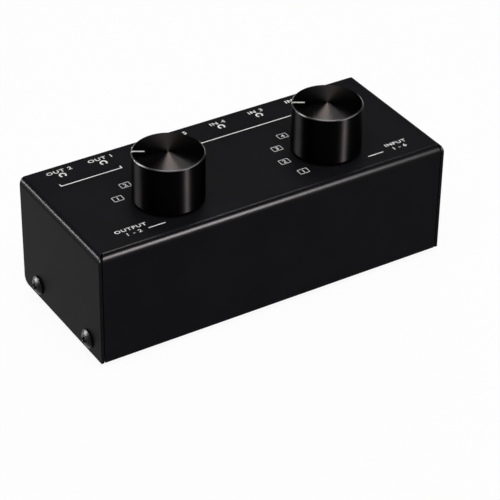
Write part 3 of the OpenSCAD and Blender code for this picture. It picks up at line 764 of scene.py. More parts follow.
class FoldedSheet:
    """Outer skin of a folded sheet, panel by panel and fold by fold. Equal corners are shared."""

    def __init__(self) -> None:
        """Starts an empty skin."""
        self.shape = bmesh.new()
        self._corners: dict[Point, BMVert] = {}

    def corner(self, place: Point) -> BMVert:
        """Finds or makes a corner.

        Args:
            place: Place of the corner in millimetres.

        Returns:
            The corner, which all panels that meet there share.
        """
        # Adding zero makes one number of the two signs of zero
        key = tuple(round(v, 4) + 0.0 for v in place)
        if key not in self._corners:
            self._corners[key] = self.shape.verts.new(key)
        return self._corners[key]

    def panel(self, points: Sequence[Point], outwards: Point) -> None:
        """Adds a flat panel.

        Args:
            points: Outline of the panel.
            outwards: Direction that its outer face looks.
        """
        face = self.shape.faces.new(dict.fromkeys(self.corner(p) for p in points))
        face.normal_update()
        if face.normal.dot(Vector(outwards)) < 0:
            face.normal_flip()

    def fold(self, section: Sequence[Plan], stations: Callable[[float], Sequence[float]], along: int,
             start: Point, out: Point, down: Point) -> None:
        """Adds a quarter fold.

        Args:
            section: Points across the fold: how far each lies out and down from its start.
            stations: Gives the places along the fold where its strips meet, for a row that has come
                this share of the whole way out.
            along: Number of the axis that the fold follows.
            start: A point on the fold's first edge.
            out: Direction that the fold runs out.
            down: Direction that the fold runs down.
        """
        rows = []
        for across, fallen in section:
            spot = Vector(start) + Vector(out) * across + Vector(down) * fallen
            row = []
            for station in stations(across / section[-1][0]):
                spot[along] = station
                row.append(tuple(spot))
            rows.append(row)
        outwards = tuple(Vector(out) - Vector(down))
        for high, low in zip(rows, rows[1:]):
            for a, b, c, d in zip(high, high[1:], low[1:], low):
                self.panel([a, b, c, d], outwards)

    def finish(self, name: str, thickness: float, edge: float) -> Object:
        """Gives the skin its thickness and its softly sheared edges.

        Args:
            name: Name of the piece.
            thickness: Thickness of the sheet in millimetres.
            edge: Rounding of the sheared edges in millimetres.

        Returns:
            The sheet, in metres.
        """
        piece = piece_from(name, self.shape)
        wall = piece.modifiers.new("wall", "SOLIDIFY")
        wall.thickness, wall.offset, wall.use_even_offset = thickness * MM, -1, True
        bake(piece)
        soften(piece, edge)
        return piece


def bend(*arcs: Plan) -> list[Plan]:
    """Section of a quarter fold made of arcs that run on from each other.

    Args:
        arcs: Radius of each arc, and the degrees that the sheet has turned by its end.

    Returns:
        How far out and down from its start each point of the fold lies.
    """
    section, turned = [(0.0, 0.0)], 0.0
    for radius, last in arcs:
        (across, fallen), (first_out, first_up) = section[-1], polar(radius, 90 - turned)
        steps = max(round((last - turned) / FOLD_STEP), 1)
        for out, up in arc((0, 0), radius, 90 - turned, 90 - last, steps)[1:]:
            section.append((across + out - first_out, fallen + first_up - up))
        turned = last
    return section


def arch(left: float, right: float, top: float, radius: float) -> list[Plan]:
    """Rounds the upper corners of a sheet.

    Args:
        left: Left edge of the sheet.
        right: Right edge.
        top: Upper edge.
        radius: Radius of the corners.

    Returns:
        The points of the right corner, then those of the left one.
    """
    middle = top - radius
    return [*arc((right - radius, middle), radius, 0, 90, CORNER_STEPS),
            *arc((left + radius, middle), radius, 90, 180, CORNER_STEPS)]


@dataclass
class PanScrew:
    """A pan head screw with a cross recess and a thread, upright with its head's underside at height 0."""

    head_r: float = 3.0
    edge_h: float = 0.5
    dome_h: float = 1.2
    dome_steps: int = 10
    under: Plan = (0.12, 0.1)
    length: float = 5.0
    thread_r: float = 1.5
    root_r: float = 1.22
    pitch: float = 0.5
    tip: Plan = (0.3, 0.25)
    crest: Plan = (0.2, 0.3)
    plain: float = 0.5
    recess_l: float = 3.3
    recess_w: float = 0.9
    recess_depth: float = 1.1
    recess_taper: Plan = (0.55, 0.8)
    recess_over: float = 0.5

    def solid(self) -> Object:
        """Turns the screw and cuts its recess.

        Returns:
            The screw.
        """
        dome_r = (self.head_r ** 2 + self.dome_h ** 2) / 2 / self.dome_h
        spread = math.degrees(math.asin(self.head_r / dome_r))
        crown = self.edge_h + self.dome_h
        thread = [(0, -self.length), (self.root_r - self.tip[0], -self.length)]
        for turn in range(int((self.length - self.plain) / self.pitch)):
            low = -self.length + self.tip[1] + self.pitch * turn
            thread += [(self.root_r, low), *((self.thread_r, low + rise) for rise in self.crest)]
        under = [(self.thread_r, 0), (self.head_r - self.under[0], 0), (self.head_r, self.under[1]),
                 (self.head_r, self.edge_h)]
        dome = arc((0, crown - dome_r), dome_r, 90 - spread, 90, self.dome_steps)[1:-1]
        screw = piece_from("screw", lathe([*thread, *under, *dome, (0, crown)]))
        carve(screw, [self._recess_arm(angle, crown) for angle in (0, 90)])
        return screw

    def _recess_arm(self, angle: float, crown: float) -> Object:
        """Makes the tapered cutter of one bar of the cross recess.

        Args:
            angle: Turn of the bar in degrees.
            crown: Height of the top of the head in millimetres.

        Returns:
            The cutter.
        """
        x, y = self.recess_l / 2, self.recess_w / 2
        shape = prism(rectangle(-x, -y, x, y), crown - self.recess_depth, crown + self.recess_over)
        for vert in shape.verts:
            if vert.co.z < crown:
                vert.co.x *= self.recess_taper[0]
                vert.co.y *= self.recess_taper[1]
        shape.transform(Matrix.Rotation(math.radians(angle), 4, "Z"))
        return piece_from("recess", shape)


@dataclass
class Case:
    """Folded cover, chassis, back panel, screws and feet."""

    width: float = 122
    depth: float = 50
    base: float = 1.5
    top: float = TOP
    sheet: float = 1.0
    fold_r: float = 2.0
    fold_arcs: tuple[Plan, ...] = ((1.5, 60), (4.0, 90))
    mitre: float = 1.5
    seam: float = 0.3
    relief: float = 0.5
    flap_r: float = 2.5
    panel_r: float = 1.2
    back_inset: float = 0.5
    edge: float = 0.1
    screw_y: Plan = (-17, 15)
    screw_z: float = 6.0
    screw_hole_r: float = 1.7
    screw_hole_steps: int = 32
    tapped_r: float = 1.53
    flange_y: Plan = (-21.5, 19.5)
    flange_top: float = 10.5
    flange_r: float = 2.25
    tab_x: tuple[float, ...] = (-44, 0, 44)
    tab_l: float = 10
    tab_play: float = 0.1
    socket_hole_r: float = 3.2
    bushing_hole_r: float = 4.7
    peg_places: tuple[Plan, ...] = ((-23.1, 0.487), (23.1, 0.487))
    peg_hole_r: float = 1.0
    peg_hole_steps: int = 24
    foot_place: Plan = (49, 16)
    foot_r: float = 4.5
    foot_bevel: float = 0.5
    foot_bevel_steps: int = 5
    dish: float = 0.25
    dish_r: Plan = (2.2, 2.6)
    reach: float = 3

    def build(self) -> None:
        """Builds and dresses the sheets, screws and feet."""
        sheets = {"cover": self.cover(), "chassis": self.chassis(), "back_panel": self.back_panel()}
        for node, piece in sheets.items():
            shade(piece)
            piece.data.materials.append(CASE_PAINT.material())
            settle(piece, "case", [node])
        settle(self.screws(), "case", ["cover_screws"])
        settle(self.feet(), "case", ["rubber_feet"])

    def cover(self) -> Object:
        """Top, front flap and end flaps, folded from one sheet and butted at the corners.

        Returns:
            The cover.
        """
        x, front, rear = self.width / 2, -self.depth / 2, self.depth / 2
        # A press leaves a tight bend that eases into the flap
        section = bend(*self.fold_arcs)
        reach, fall = section[-1]
        flat_x, fold_y, fold_z = x - reach, front + reach, self.top - fall
        start_x, flap_x = flat_x - self.seam, x - self.sheet - self.seam

        def half_width(share: float) -> float:
            """Half the width of the front fold, once it has come this share of the way out."""
            return start_x + reach * share - self.sheet * min(1, self.mitre * share)

        skin = FoldedSheet()
        front_edge = [(px, fold_y) for px in (-flat_x, -start_x, start_x, flat_x)]
        skin.panel([(*place, self.top) for place in (*front_edge, (flat_x, rear), (-flat_x, rear))], UP)
        # The front ends of the end folds are mitred, and the front fold is cut back to clear them
        skin.fold(section, lambda share: (-half_width(share), half_width(share)), 0,
                  (0, fold_y, self.top), TO_FRONT, DOWN)
        skin.panel([(px, front, pz) for px, pz in rectangle(-flap_x, self.base, flap_x, fold_z)], TO_FRONT)
        for side in SIDES:
            skin.fold(section, lambda share: (fold_y - reach * share, rear), 1,
                      (side * flat_x, 0, self.top), (side, 0, 0), DOWN)
            low_corner = arc((rear - self.flap_r, self.base + self.flap_r), self.flap_r, -90, 0,
                             CORNER_STEPS)
            outline = [(front, self.base), *low_corner, (rear, fold_z), (front, fold_z)]
            skin.panel([(side * x, y, z) for y, z in outline], (side, 0, 0))
        piece = skin.finish("cover_sheet", self.sheet, self.edge)
        holes = [drill((*axis, self.top), self.bushing_hole_r, 2, self.reach) for axis in KNOB_AXES]
        holes += [drill((*place, self.top), self.peg_hole_r, 2, self.reach, self.peg_hole_steps)
                  for place in self.peg_places]
        carve(piece, holes + self._screw_holes(x, self.screw_hole_r))
        return piece

    def _screw_holes(self, x: float, radius: float) -> list[Object]:
        """Makes the cutters of the screw holes in both ends, this far from the middle."""
        places = [(side * x, y, self.screw_z) for side in SIDES for y in self.screw_y]
        return [drill(place, radius, 0, self.reach, self.screw_hole_steps) for place in places]

    def chassis(self) -> Object:
        """Bottom with an upturned flange at each end and notches for the back panel.

        Returns:
            The chassis.
        """
        x = self.width / 2 - self.sheet - self.seam
        front, rear = -self.depth / 2 + self.sheet + self.seam, self.depth / 2 - self.back_inset
        fold_x, fold_z = x - self.fold_r, self.base + self.fold_r
        y0, y1 = self.flange_y
        notch_y = rear - self.sheet - self.tab_play
        half = self.tab_l / 2 + self.tab_play
        slit = [(x, y0 - self.relief), (fold_x, y0 - self.relief), (fold_x, y0), (fold_x, y1),
                (fold_x, y1 + self.relief), (x, y1 + self.relief)]
        rear_edge = [(x, rear)]
        for middle in reversed(self.tab_x):
            left, right = middle - half, middle + half
            rear_edge += [(right, rear), (right, notch_y), (left, notch_y), (left, rear)]
        rear_edge.append((-x, rear))
        outline = [(-x, front), (x, front), *slit, *rear_edge, *((-px, py) for px, py in reversed(slit))]
        skin = FoldedSheet()
        skin.panel([(*place, self.base) for place in outline], DOWN)
        flange = [(y0, fold_z), (y1, fold_z), *arch(y0, y1, self.flange_top, self.flange_r)]
        for side in SIDES:
            skin.fold(bend((self.fold_r, 90)), lambda share: (y0, y1), 1, (side * fold_x, 0, self.base),
                      (side, 0, 0), UP)
            skin.panel([(side * x, y, z) for y, z in flange], (side, 0, 0))
        piece = skin.finish("chassis_sheet", self.sheet, self.edge)
        carve(piece, self._screw_holes(x, self.tapped_r))
        return piece

    def back_panel(self) -> Object:
        """Flat panel with the socket holes, standing on the bottom with its tabs in the notches.

        Returns:
            The back panel.
        """
        x, rear = self.width / 2 - self.sheet - self.seam, self.depth / 2 - self.back_inset
        floor, roof, half = self.base + self.sheet, self.top - self.sheet - self.seam, self.tab_l / 2
        outline = [(-x, floor)]
        for middle in self.tab_x:
            left, right = middle - half, middle + half
            outline += [(left, floor), (left, self.base), (right, self.base), (right, floor)]
        outline += [(x, floor), *arch(-x, x, roof, self.panel_r)]
        skin = FoldedSheet()
        skin.panel([(px, rear, pz) for px, pz in outline], TO_BACK)
        piece = skin.finish("back_panel_sheet", self.sheet, self.edge)
        carve(piece, [drill((px, rear, SOCKET_Z), self.socket_hole_r, 1, self.reach) for px in SOCKET_X])
        return piece

    def screws(self) -> Object:
        """Four screws, two in each end.

        Returns:
            The screws as one piece.
        """
        first, last = self.screw_y
        sizes = {"Middle": metres(0, (first + last) / 2, self.screw_z), "Spacing X": self.width * MM,
                 "Spacing Y": (last - first) * MM, "Turn outwards": QUARTER}
        return Copies("pan_head_screws", Layout.CORNERS, PanScrew().solid(), BLACK_OXIDE, sizes).make()

    def feet(self) -> Object:
        """Four moulded rubber pads with a dished underside.

        Returns:
            The feet as one piece.
        """
        r, bevel = self.foot_r, self.foot_bevel
        dish = [(0, self.dish), (self.dish_r[0], self.dish), (self.dish_r[1], 0)]
        rim = arc((r - bevel, bevel), bevel, -90, 0, self.foot_bevel_steps)
        pad = piece_from("pad", lathe([*dish, *rim, (r, self.base), (0, self.base)]))
        x, y = self.foot_place
        sizes = {"Middle": (0, 0, 0), "Spacing X": 2 * x * MM, "Spacing Y": 2 * y * MM, "Turn outwards": 0.0}
        return Copies("rubber_pads", Layout.CORNERS, pad, FOOT_RUBBER, sizes).make()


@dataclass
class Sockets:
    """Eight moulded 3.5 mm sockets on one pitch, with their noses in the back panel."""

    mouth_y: float = 25
    body_y: Plan = (9.4, 23.4)
    body_w: float = 9
    body_z: Plan = (28.0, 34.6)
    body_edge: float = 0.25
    nose_r: float = 3.0
    nose_steps: int = 64
    nose_edge: float = 0.2
    nose_root: float = 0.5
    bore_r: float = 1.8
    bore_depth: float = 14.4
    mouth: float = 0.4
    contact_y: tuple[float, ...] = (4.4, 8.4, 12.4)
    contact_side: tuple[int, ...] = (-1, 1, -1)
    slot_x: Plan = (1.5, 2.8)
    slot_l: float = 3.2
    slot_top: float = 32.2
    over: float = 1
    names: tuple[str, ...] = ("out_2", "out_1", "in_6", "in_5", "in_4", "in_3", "in_2", "in_1")

    def build(self) -> None:
        """Builds one socket, copies it along the back and dresses the copies."""
        piece = socket_row("sockets", self.socket(), MOULDED_ABS)
        settle(piece, "case", [f"jack_{name}" for name in self.names])

    def socket(self) -> Object:
        """Makes one socket in the middle of the back, with its bore and the slots of its contacts.

        Returns:
            The socket.
        """
        half, r, edge = self.body_w / 2, self.nose_r, self.nose_edge
        outline = rectangle(-half, self.body_y[0], half, self.body_y[1])
        body = piece_from("socket", prism(outline, *self.body_z))
        soften(body, self.body_edge)
        length = self.mouth_y - self.body_y[1] + self.nose_root
        nose = lathe([(0, 0), (r, 0), (r, length - edge), (r - edge, length), (0, length)], self.nose_steps)
        flare = self.bore_r + self.mouth
        bore = lathe([(0, -self.over), (flare + self.over, -self.over), (flare, 0),
                      (self.bore_r, self.mouth), (self.bore_r, self.bore_depth), (0, self.bore_depth)])
        for shape, y, turn in ((nose, self.mouth_y - length, -QUARTER), (bore, self.mouth_y, QUARTER)):
            shape.transform(Matrix.Translation((0, y, SOCKET_Z)) @ Matrix.Rotation(turn, 4, "X"))
        carve(body, [piece_from("nose", nose)], "UNION")
        carve(body, [piece_from("bore", bore)])
        slots = []
        for inwards, side in zip(self.contact_y, self.contact_side):
            x0, x1 = sorted(side * x for x in self.slot_x)
            y0 = self.mouth_y - inwards - self.slot_l / 2
            outline = rectangle(x0, y0, x1, y0 + self.slot_l)
            slots.append(piece_from("slot", prism(outline, self.body_z[0] - self.over, self.slot_top)))
        carve(body, slots)
        return body


# Knobs


@dataclass
class Knob:
    """A turned knob with a bright cut chamfer and an enamelled index line."""

    name: str
    axis: Plan
    index_angle: float = 150
    radius: float = 11
    low: float = 40.5
    high: float = 56.0
    chamfer: float = 0.4
    chamfer_edge: float = 0.06
    bevel: float = 0.3
    hollow_r: float = 7.73
    hollow_top: float = 46.0
    hollow_bevel: float = 0.2
    bore_r: float = 3.05
    bore_top: float = 53.0
    grub_z: float = 49.5
    grub_r: float = 1.53
    grub_from: float = 1.5
    index_l: float = 4.1
    index_w: float = 0.75
    index_depth: float = 0.25
    index_play: float = 0.01
    index_edge: float = 0.03
    steps: int = 180
    sharp: float = 24

    def build(self) -> None:
        """Builds and dresses the knob and its index line."""
        body = f"{self.name}_selector"
        knob = self.turned()
        for finish in knob_finishes(self.axis):
            knob.data.materials.append(finish.material())
        self._mark_faces(knob)
        settle(knob, body, [f"{self.name}_knob"])
        line = self.index_line()
        line.data.materials.append(INDEX_ENAMEL.material())
        settle(line, body)

    def turned(self) -> Object:
        """Turns the knob, and mills its index slot and its grub screw hole.

        Returns:
            The knob in place.
        """
        r, c, low, high = self.radius, self.chamfer, self.low, self.high
        # The soft edges of the chamfer, and how far they run out and up along its slope
        slope_share = 0.7
        half = self.chamfer_edge * math.tan(math.radians(45 / 2))
        eased = half * slope_share
        over_foot, under_rim, inside_rim, hub_r, past_side = 0.3, 0.4, 0.3, 0.25, 1
        inside = [(0, self.bore_top), (self.bore_r, self.bore_top), (self.bore_r, self.hollow_top),
                  (self.hollow_r, self.hollow_top)]
        foot = [(self.hollow_r, low + self.hollow_bevel), (self.hollow_r + self.hollow_bevel, low),
                (r - self.bevel, low), (r, low + self.bevel)]
        # More rings than the side and the face need keep their shading flat
        side = [(r, low + self.bevel + over_foot), (r, high - c - under_rim)]
        rim = [(r, high - c - half), (r - eased, high - c + eased), (r - c + eased, high - eased),
               (r - c - half, high)]
        face = [(ring, high) for ring in (r - c - inside_rim, r / 2, hub_r, 0)]
        shape = lathe([*inside, *foot, *side, *rim, *face], self.steps)
        shape.transform(Matrix.Translation((*self.axis, 0)))
        knob = piece_from(f"{self.name}_knob_turned", shape)
        grub = rod(self.grub_r, self.grub_from, r + past_side)
        grub.transform(Matrix.Translation((0, 0, self.grub_z)) @ Matrix.Rotation(QUARTER, 4, "Y"))
        self._place(grub, self.index_angle - 90)
        slot = self._index_solid(self.index_w, inset=0.0, proud=0.4, past=0.5)
        carve(knob, [piece_from("grub", grub), slot])
        shade(knob, self.sharp)
        return knob

    def index_line(self) -> Object:
        """Fills the index slot with enamel, a hair below the metal.

        Returns:
            The index line.
        """
        play = self.index_play
        line = self._index_solid(self.index_w - 2 * play, inset=play, proud=-0.015, past=-0.03)
        line.name = f"{self.name}_index_line"
        soften(line, self.index_edge)
        shade(line)
        return line

    def _index_solid(self, width: float, inset: float, proud: float, past: float) -> Object:
        """Makes a bar that follows the face and the chamfer along the index.

        Args:
            width: Width of the bar in millimetres.
            inset: How far its inner end stands back.
            proud: How far it stands above the metal.
            past: How far it runs past the side of the knob.

        Returns:
            The bar in place.
        """
        start, end = self.radius - self.index_l + inset, self.radius + past
        floor, roof = self.high - self.index_depth, self.high + proud
        # On a slope of 45 degrees, radius and height add up to the same everywhere
        cone, slant = self.radius + self.high - self.chamfer, math.sqrt(2)
        floor_sum, roof_sum = cone - self.index_depth * slant, cone + proud * slant
        profile = [(start, floor), (floor_sum - floor, floor), (end, floor_sum - end), (end, roof_sum - end),
                   (roof_sum - roof, roof), (start, roof)]
        # The profile is drawn in plan and stood up, so that its width runs across the index
        shape = prism(profile, -width / 2, width / 2)
        shape.transform(Matrix.Rotation(QUARTER, 4, "X"))
        bmesh.ops.recalc_face_normals(shape, faces=shape.faces)
        self._place(shape, self.index_angle)
        return piece_from("index", shape)

    def _place(self, shape: BMesh, angle: float) -> None:
        """Turns a shape about +Z and moves it to the knob axis."""
        shape.transform(Matrix.Translation((*self.axis, 0)) @ Matrix.Rotation(math.radians(angle), 4, "Z"))

    def _mark_faces(self, knob: Object) -> None:
        """Gives the chamfer and the top face their own finishes.

        Args:
            knob: The turned knob, with the finishes of its side, chamfer and top face in this order.
        """
        slack, slope, slope_slack, level = 0.04, math.sin(math.radians(45)), 0.15, 0.99
        for face in knob.data.polygons:
            spot = face.center / MM
            out = math.hypot(spot.x - self.axis[0], spot.y - self.axis[1])
            on_cone = abs(out + spot.z - (self.radius + self.high - self.chamfer)) < slack
            if on_cone and abs(face.normal.z - slope) < slope_slack:
                face.material_index = 1
            elif face.normal.z > level and self.high - spot.z < slack:
                face.material_index = 2


# Printed legend


@dataclass(frozen=True)
class Dial:
    """Numbers round a knob.

    Attributes:
        name: Name of the knob.
        axis: Plan position of its axis in millimetres.
        first: Angle of the number 1 in degrees.
        count: How many numbers there are.
    """

    name: str
    axis: Plan
    first: float
    count: int


@dataclass
class Legend:
    """Screen print on the top: socket marks, dial numbers, function words and rules."""

    level: float = TOP
    thickness: float = 0.03
    sunk: float = 0.005
    socket_words: tuple[str, ...] = ("OUT 2", "OUT 1", "IN 6", "IN 5", "IN 4", "IN 3", "IN 2", "IN 1")
    mark_y: float = 19.6
    mark_r: Plan = (0.68, 1.24)
    mark_gap: float = 32
    mark_steps: int = 28
    word_y: float = 22.1
    word_h: float = 1.6
    word_wide: float = 1.25
    word_spread: float = 1.15
    dials: tuple[Dial, ...] = (Dial("output", KNOB_AXES[0], 150, 2), Dial("input", KNOB_AXES[1], 210, 6))
    dial_r: float = 15.1
    box: Plan = (3.4, 2.6)
    box_r: float = 0.3
    stroke: float = 0.18
    number_h: float = 1.5
    number_wide: float = 1.2
    number_bold: float = 0.012
    functions: tuple[tuple[str, str, float], ...] = (("OUTPUT", "1 - 2", -45.6), ("INPUT", "1 - 6", 48.4))
    function_rise: float = 2.5
    leader_y: float = -18.7
    leaders: tuple[Plan, ...] = ((-40.9, -35.2), (36.6, 42.2))
    rule_y: float = 14.2
    rule_w: float = 0.38
    rule_tick: float = 1.2
    brackets: tuple[Plan, ...] = ((-52.5, -31.5), (-24.5, 52.5))

    def build(self) -> None:
        """Prints the legend, one piece for each kind of mark."""
        for piece in (self.socket_marks(), *self.dial_boxes(), self.lettering(), self.rules()):
            settle(piece, "case")

    def _print(self, name: str, flat: BMesh) -> Object:
        """Gives flat faces the thickness and the finish of the ink.

        Args:
            name: Name of the piece.
            flat: Faces at height 0, in millimetres.

        Returns:
            The printed shape on the top of the case.
        """
        merge(flat, SLIVER)
        raised = bmesh.ops.extrude_face_region(flat, geom=flat.faces[:])["geom"]
        top = [v for v in raised if isinstance(v, BMVert)]
        bmesh.ops.translate(flat, verts=top, vec=(0, 0, self.thickness))
        bmesh.ops.recalc_face_normals(flat, faces=flat.faces)
        flat.transform(Matrix.Translation((0, 0, self.level - self.sunk)))
        piece = piece_from(name, flat)
        piece.data.materials.append(SCREEN_INK.material())
        return piece

    @staticmethod
    def _band(outside: Sequence[Plan], inside: Sequence[Plan], closed: bool) -> BMesh:
        """Makes a flat band between two outlines.

        Args:
            outside: Outer edge of the band.
            inside: Inner edge, with as many points.
            closed: Whether the band runs all the way round.

        Returns:
            The band at height 0.
        """
        flat = bmesh.new()
        outer, inner = ([flat.verts.new((*place, 0)) for place in edge] for edge in (outside, inside))
        count = len(outer)
        for i in range(count if closed else count - 1):
            j = (i + 1) % count
            flat.faces.new((outer[i], outer[j], inner[j], inner[i]))
        return flat

    def socket_marks(self) -> Object:
        """Ring marks, each open at the front.

        Returns:
            The marks as one piece.
        """
        inside, outside = (arc((0, 0), r, self.mark_gap - 90, 270 - self.mark_gap, self.mark_steps)
                           for r in self.mark_r)
        mark = self._print("mark", self._band(outside, inside, closed=False))
        return socket_row("legend_socket_marks", mark, SCREEN_INK, self.mark_y)

    def dial_boxes(self) -> list[Object]:
        """Round cornered frames about the numbers of each dial.

        Returns:
            One piece for each dial.
        """
        made = []
        width, height = (size - 2 * self.stroke for size in self.box)
        inside = rounded(width, height, self.box_r - self.stroke / 2)
        for dial in self.dials:
            box = self._print("frame", self._band(rounded(*self.box, self.box_r), inside, closed=True))
            sizes = {"Copies": dial.count, "Middle": metres(*dial.axis, 0), "Radius": self.dial_r * MM,
                     "First angle": math.radians(dial.first), "Step": math.radians(DIAL_STEP)}
            made.append(Copies(f"legend_{dial.name}_frames", Layout.ARC, box, SCREEN_INK, sizes).make())
        return made

    def lettering(self) -> Object:
        """Socket names, dial numbers and the two function words.

        Returns:
            All letters as one piece.
        """
        flat = bmesh.new()
        for text, x in zip(self.socket_words, SOCKET_X):
            self._write(flat, text, (x, self.word_y), self.word_h, self.word_wide, self.word_spread)
        for dial in self.dials:
            for number in range(dial.count):
                x, y = polar(self.dial_r, dial.first + DIAL_STEP * number)
                middle = (dial.axis[0] + x, dial.axis[1] + y)
                self._write(flat, str(number + 1), middle, self.number_h, self.number_wide,
                            bold=self.number_bold)
        for *words, x in self.functions:
            for word, y in zip(words, (self.leader_y + self.function_rise, self.leader_y)):
                self._write(flat, word, (x, y), self.number_h, self.number_wide, self.word_spread)
        return self._print("legend_lettering", flat)

    @staticmethod
    def _write(flat: BMesh, text: str, middle: Plan, height: float, wide: float,
               spread: float = 1.0, bold: float = 0.022) -> None:
        """Adds the flat faces of a word.

        Args:
            flat: Shape that gets the word.
            text: Word or number.
            middle: Middle of the word in millimetres.
            height: Height of its capitals.
            wide: Width of the letters, where 1 is the width of the plain type.
            spread: Space between the letters, where 1 is that of the plain type.
            bold: How much wider the strokes are on each side, as a share of the type's size.
        """
        steps = 4
        curve = bpy.data.curves.new("word", "FONT")
        curve.body, curve.resolution_u, curve.space_character, curve.offset = text, steps, spread, bold
        writing = add_object("word", curve)
        graph = bpy.context.evaluated_depsgraph_get()
        mesh = bpy.data.meshes.new_from_object(writing.evaluated_get(graph))
        xs, ys = [v.co.x for v in mesh.vertices], [v.co.y for v in mesh.vertices]
        size = height / (max(ys) - min(ys))
        centre = Vector(((min(xs) + max(xs)) / 2, (min(ys) + max(ys)) / 2, 0))
        sized = Matrix.Diagonal((size * wide, size, size, 1))
        mesh.transform(Matrix.Translation((*middle, 0)) @ sized @ Matrix.Translation(-centre))
        flat.from_mesh(mesh)
        bpy.data.objects.remove(writing)
        bpy.data.curves.remove(curve)
        bpy.data.meshes.remove(mesh)

    def rules(self) -> Object:
        """Leader lines to the knobs, and a bracket under each group of sockets.

        Returns:
            The rules as one piece.
        """
        wide, half = self.rule_w, self.rule_w / 2
        outlines = [rectangle(first, self.leader_y - half, last, self.leader_y + half)
                    for first, last in self.leaders]
        low, high, tip = self.rule_y - half, self.rule_y + half, self.rule_y + self.rule_tick
        for first, last in self.brackets:
            left, right = first + wide, last - wide
            outlines.append([(first, low), (last, low), (last, tip), (right, tip), (right, high),
                             (left, high), (left, tip), (first, tip)])
        flat = bmesh.new()
        for outline in outlines:
            flat.faces.new([flat.verts.new((*place, 0)) for place in outline])
        return self._print("legend_rules", flat)


# Studio


@dataclass(frozen=True)
class PhotoCamera:
    """The camera of the photograph, found from the corners of the case and the knob faces."""

    azimuth: float = -32.242
    elevation: float = 34.210
    roll: float = 0.878
    distance: float = 665.01
    lens: float = 155.03
    sensor: float = 36
    nearest: float = 10
    centre: Point = (0, 0, 28.5)
    pan: Plan = (4.756, -18.153)

    def axes(self) -> tuple[Vector, Vector, Vector]:
        """Finds how the camera is turned.

        Returns:
            Its right, up and backward directions.
        """
        back, level = direction(self.azimuth, self.elevation), direction(self.azimuth + 90, 0)
        rise = back.cross(level)
        cosine, sine = math.cos(math.radians(self.roll)), math.sin(math.radians(self.roll))
        return level * cosine + rise * sine, rise * cosine - level * sine, back

    def build(self) -> None:
        """Makes the camera the scene's own."""
        right, up, back = self.axes()
        aim = Vector(self.centre) + right * self.pan[0] + up * self.pan[1]
        data = bpy.data.cameras.new("photo_camera")
        data.lens, data.sensor_width, data.clip_start = self.lens, self.sensor, self.nearest * MM
        camera = add_object("photo_camera", data)
        turned = Matrix((right, up, back)).transposed().to_4x4()
        camera.matrix_world = Matrix.Translation((aim + back * self.distance) * MM) @ turned
        bpy.context.scene.camera = camera


class Light(Enum):
    """What the light of a lamp shows on."""

    ALL = "everything"
    GLOSS = "highlights only, as that of a thin strip"
    MATT = "matt surfaces only, as that of a wide weak fill"


@dataclass(frozen=True)
class Softbox:
    """A soft lamp, placed by its direction from the object as the camera sees it.

    Attributes:
        name: Name of the lamp.
        bearing: Degrees to the right of the camera, seen from above.
        elevation: Degrees above the table.
        distance: Metres from the object.
        size: Width and height in metres.
        radiance: Brightness of its face, where 1 is white.
        light: What its light shows on.
        tint: Colour of its light, sRGB hex.
        aim_z: Height in metres of the point that it faces.
    """

    name: str
    bearing: float
    elevation: float
    distance: float
    size: Plan
    radiance: float
    light: Light = Light.ALL
    tint: str = "#ffffff"
    aim_z: float = 0.03

    def build(self, camera: PhotoCamera) -> None:
        """Adds the lamp.

        Args:
            camera: Camera that the bearing counts from.
        """
        way = direction(camera.azimuth + self.bearing, self.elevation)
        data = bpy.data.lights.new(self.name, "AREA")
        data.shape, data.size, data.size_y = "RECTANGLE", *self.size
        data.energy = self.radiance * math.pi * self.size[0] * self.size[1]
        data.color = linear(self.tint)[:3]
        lamp = add_object(self.name, data)
        lamp.location = way * self.distance + Vector((0, 0, self.aim_z))
        lamp.rotation_euler = way.to_track_quat("Z", "Y").to_euler()
        lamp.visible_diffuse = self.light is not Light.GLOSS
        lamp.visible_glossy = self.light is not Light.MATT


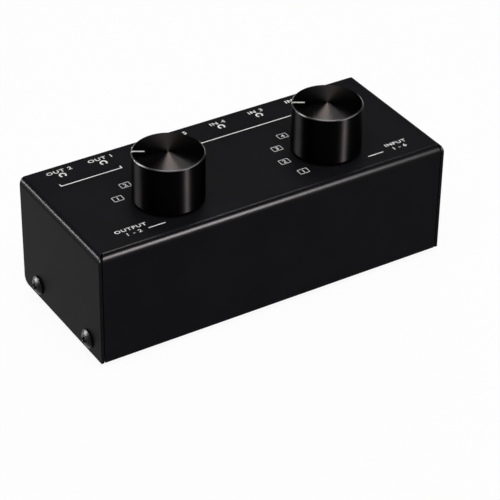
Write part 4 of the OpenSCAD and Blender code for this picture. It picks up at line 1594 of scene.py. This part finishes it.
@dataclass(frozen=True)
class Studio:
    """Pale floor, dim room and soft lamps."""

    floor_r: float = 2500
    floor_steps: int = 96
    floor_colour: str = "#f2f2f2"
    shown_white: float = 0.92
    white_level: float = 1.01
    room: float = 0.06
    horizon: float = 0.28
    horizon_top: float = 0.3
    lamps: tuple[Softbox, ...] = (
        Softbox("ceiling_softbox", 0, 76, 1.5, (1.2, 1.2), 4.3),
        Softbox("rear_fill", 176, 10, 1.4, (1.5, 0.4), 5, Light.MATT),
        Softbox("left_panel", -92, 35, 1.2, (0.42, 0.3), 12, Light.GLOSS),
        Softbox("right_panel", 78, 38, 1.3, (1.5, 0.4), 2.0, Light.GLOSS),
        Softbox("left_strip", -90, 8, 1.1, (0.16, 0.32), 110, Light.GLOSS),
        Softbox("left_glow", -102, 6, 1.1, (0.26, 0.22), 130, Light.GLOSS),
        Softbox("right_glow", 58, 4, 1.1, (0.2, 0.14), 150, Light.GLOSS),
        Softbox("right_strip", 55, 10, 1.1, (0.15, 0.26), 700, Light.GLOSS, "#fff6f8"),
        Softbox("overhead_strip", 180, 68, 1.1, (0.22, 0.3), 270, Light.GLOSS, "#fff4ee"),
        Softbox("rear_strip", 162, 56, 1.1, (0.2, 0.08), 140, Light.GLOSS),
    )

    def build(self, camera: PhotoCamera) -> None:
        """Adds the floor, the room light and the lamps.

        Args:
            camera: Camera that the lamps are placed by.
        """
        self.floor()
        self.room_light()
        for lamp in self.lamps:
            lamp.build(camera)
        bpy.context.scene.view_settings.view_transform = "Standard"

    def floor(self) -> None:
        """Adds a white floor that shows nearly white to the eye and in reflections, and keeps the shadow."""
        floor = piece_from("studio_floor", lathe([(self.floor_r, 0), (0, 0)], self.floor_steps))
        if floor.data.polygons[0].normal.z < 0:
            floor.data.flip_normals()
        material = bpy.data.materials.new("white_studio_paper")
        tree = empty_tree(material)
        rays = put(tree, "ShaderNodeLightPath").outputs
        seen = rays["Is Camera Ray"]
        for kind in ("Is Glossy Ray", "Is Transmission Ray"):
            seen = put(tree, "ShaderNodeMath", {"operation": "MAXIMUM", 0: seen, 1: rays[kind]})
        share = put(tree, "ShaderNodeMath", {"operation": "MULTIPLY", 0: seen, 1: self.shown_white})
        paper = put(tree, "ShaderNodeBsdfDiffuse", {"Color": linear(self.floor_colour)})
        glow = put(tree, "ShaderNodeEmission", {"Color": WHITE, "Strength": self.white_level})
        both = put(tree, "ShaderNodeMixShader", {0: share, 1: paper, 2: glow})
        put(tree, "ShaderNodeOutputMaterial", {"Surface": both})
        floor.data.materials.append(material)

    def room_light(self) -> None:
        """Adds a dim room that is paler towards its horizon."""
        world = bpy.data.worlds.new("studio_room")
        tree = empty_tree(world)
        way = put(tree, "ShaderNodeTexCoord").outputs["Generated"]
        height = put(tree, "ShaderNodeSeparateXYZ", {0: way}).outputs[2]
        level = put(tree, "ShaderNodeMapRange",
                    {"interpolation_type": "SMOOTHSTEP", "Value": height, "From Min": 0.0,
                     "From Max": self.horizon_top, "To Min": self.horizon, "To Max": self.room})
        light = put(tree, "ShaderNodeBackground", {"Color": WHITE, "Strength": level})
        put(tree, "ShaderNodeOutputWorld", {"Surface": light})
        bpy.context.scene.world = world


def dress_cad_nodes() -> None:
    """Gives every CAD node the finish of its material slot."""
    for row in frame["record"]["subparts"]:
        mesh = frame["nodes"][row["node"]].data
        finish = NODE_FINISH[row["material_slot"]]
        mesh.materials.clear()
        mesh.materials.append(finish.material())
        log.info("%s: %s", row["node"], finish.name)


def main() -> None:
    """Builds the box, its knobs and legend, and the studio around them."""
    logging.basicConfig(level=logging.INFO, format="%(name)s: %(message)s")
    camera = PhotoCamera()
    camera.build()
    dress_cad_nodes()
    Case().build()
    Sockets().build()
    for joint in frame["joints"]:
        name = joint["name"].removesuffix("_turn")
        Knob(name, (joint["pos_m"][0] / MM, joint["pos_m"][1] / MM)).build()
    Legend().build()
    Studio().build(camera)


if __name__ == "__main__":
    main()
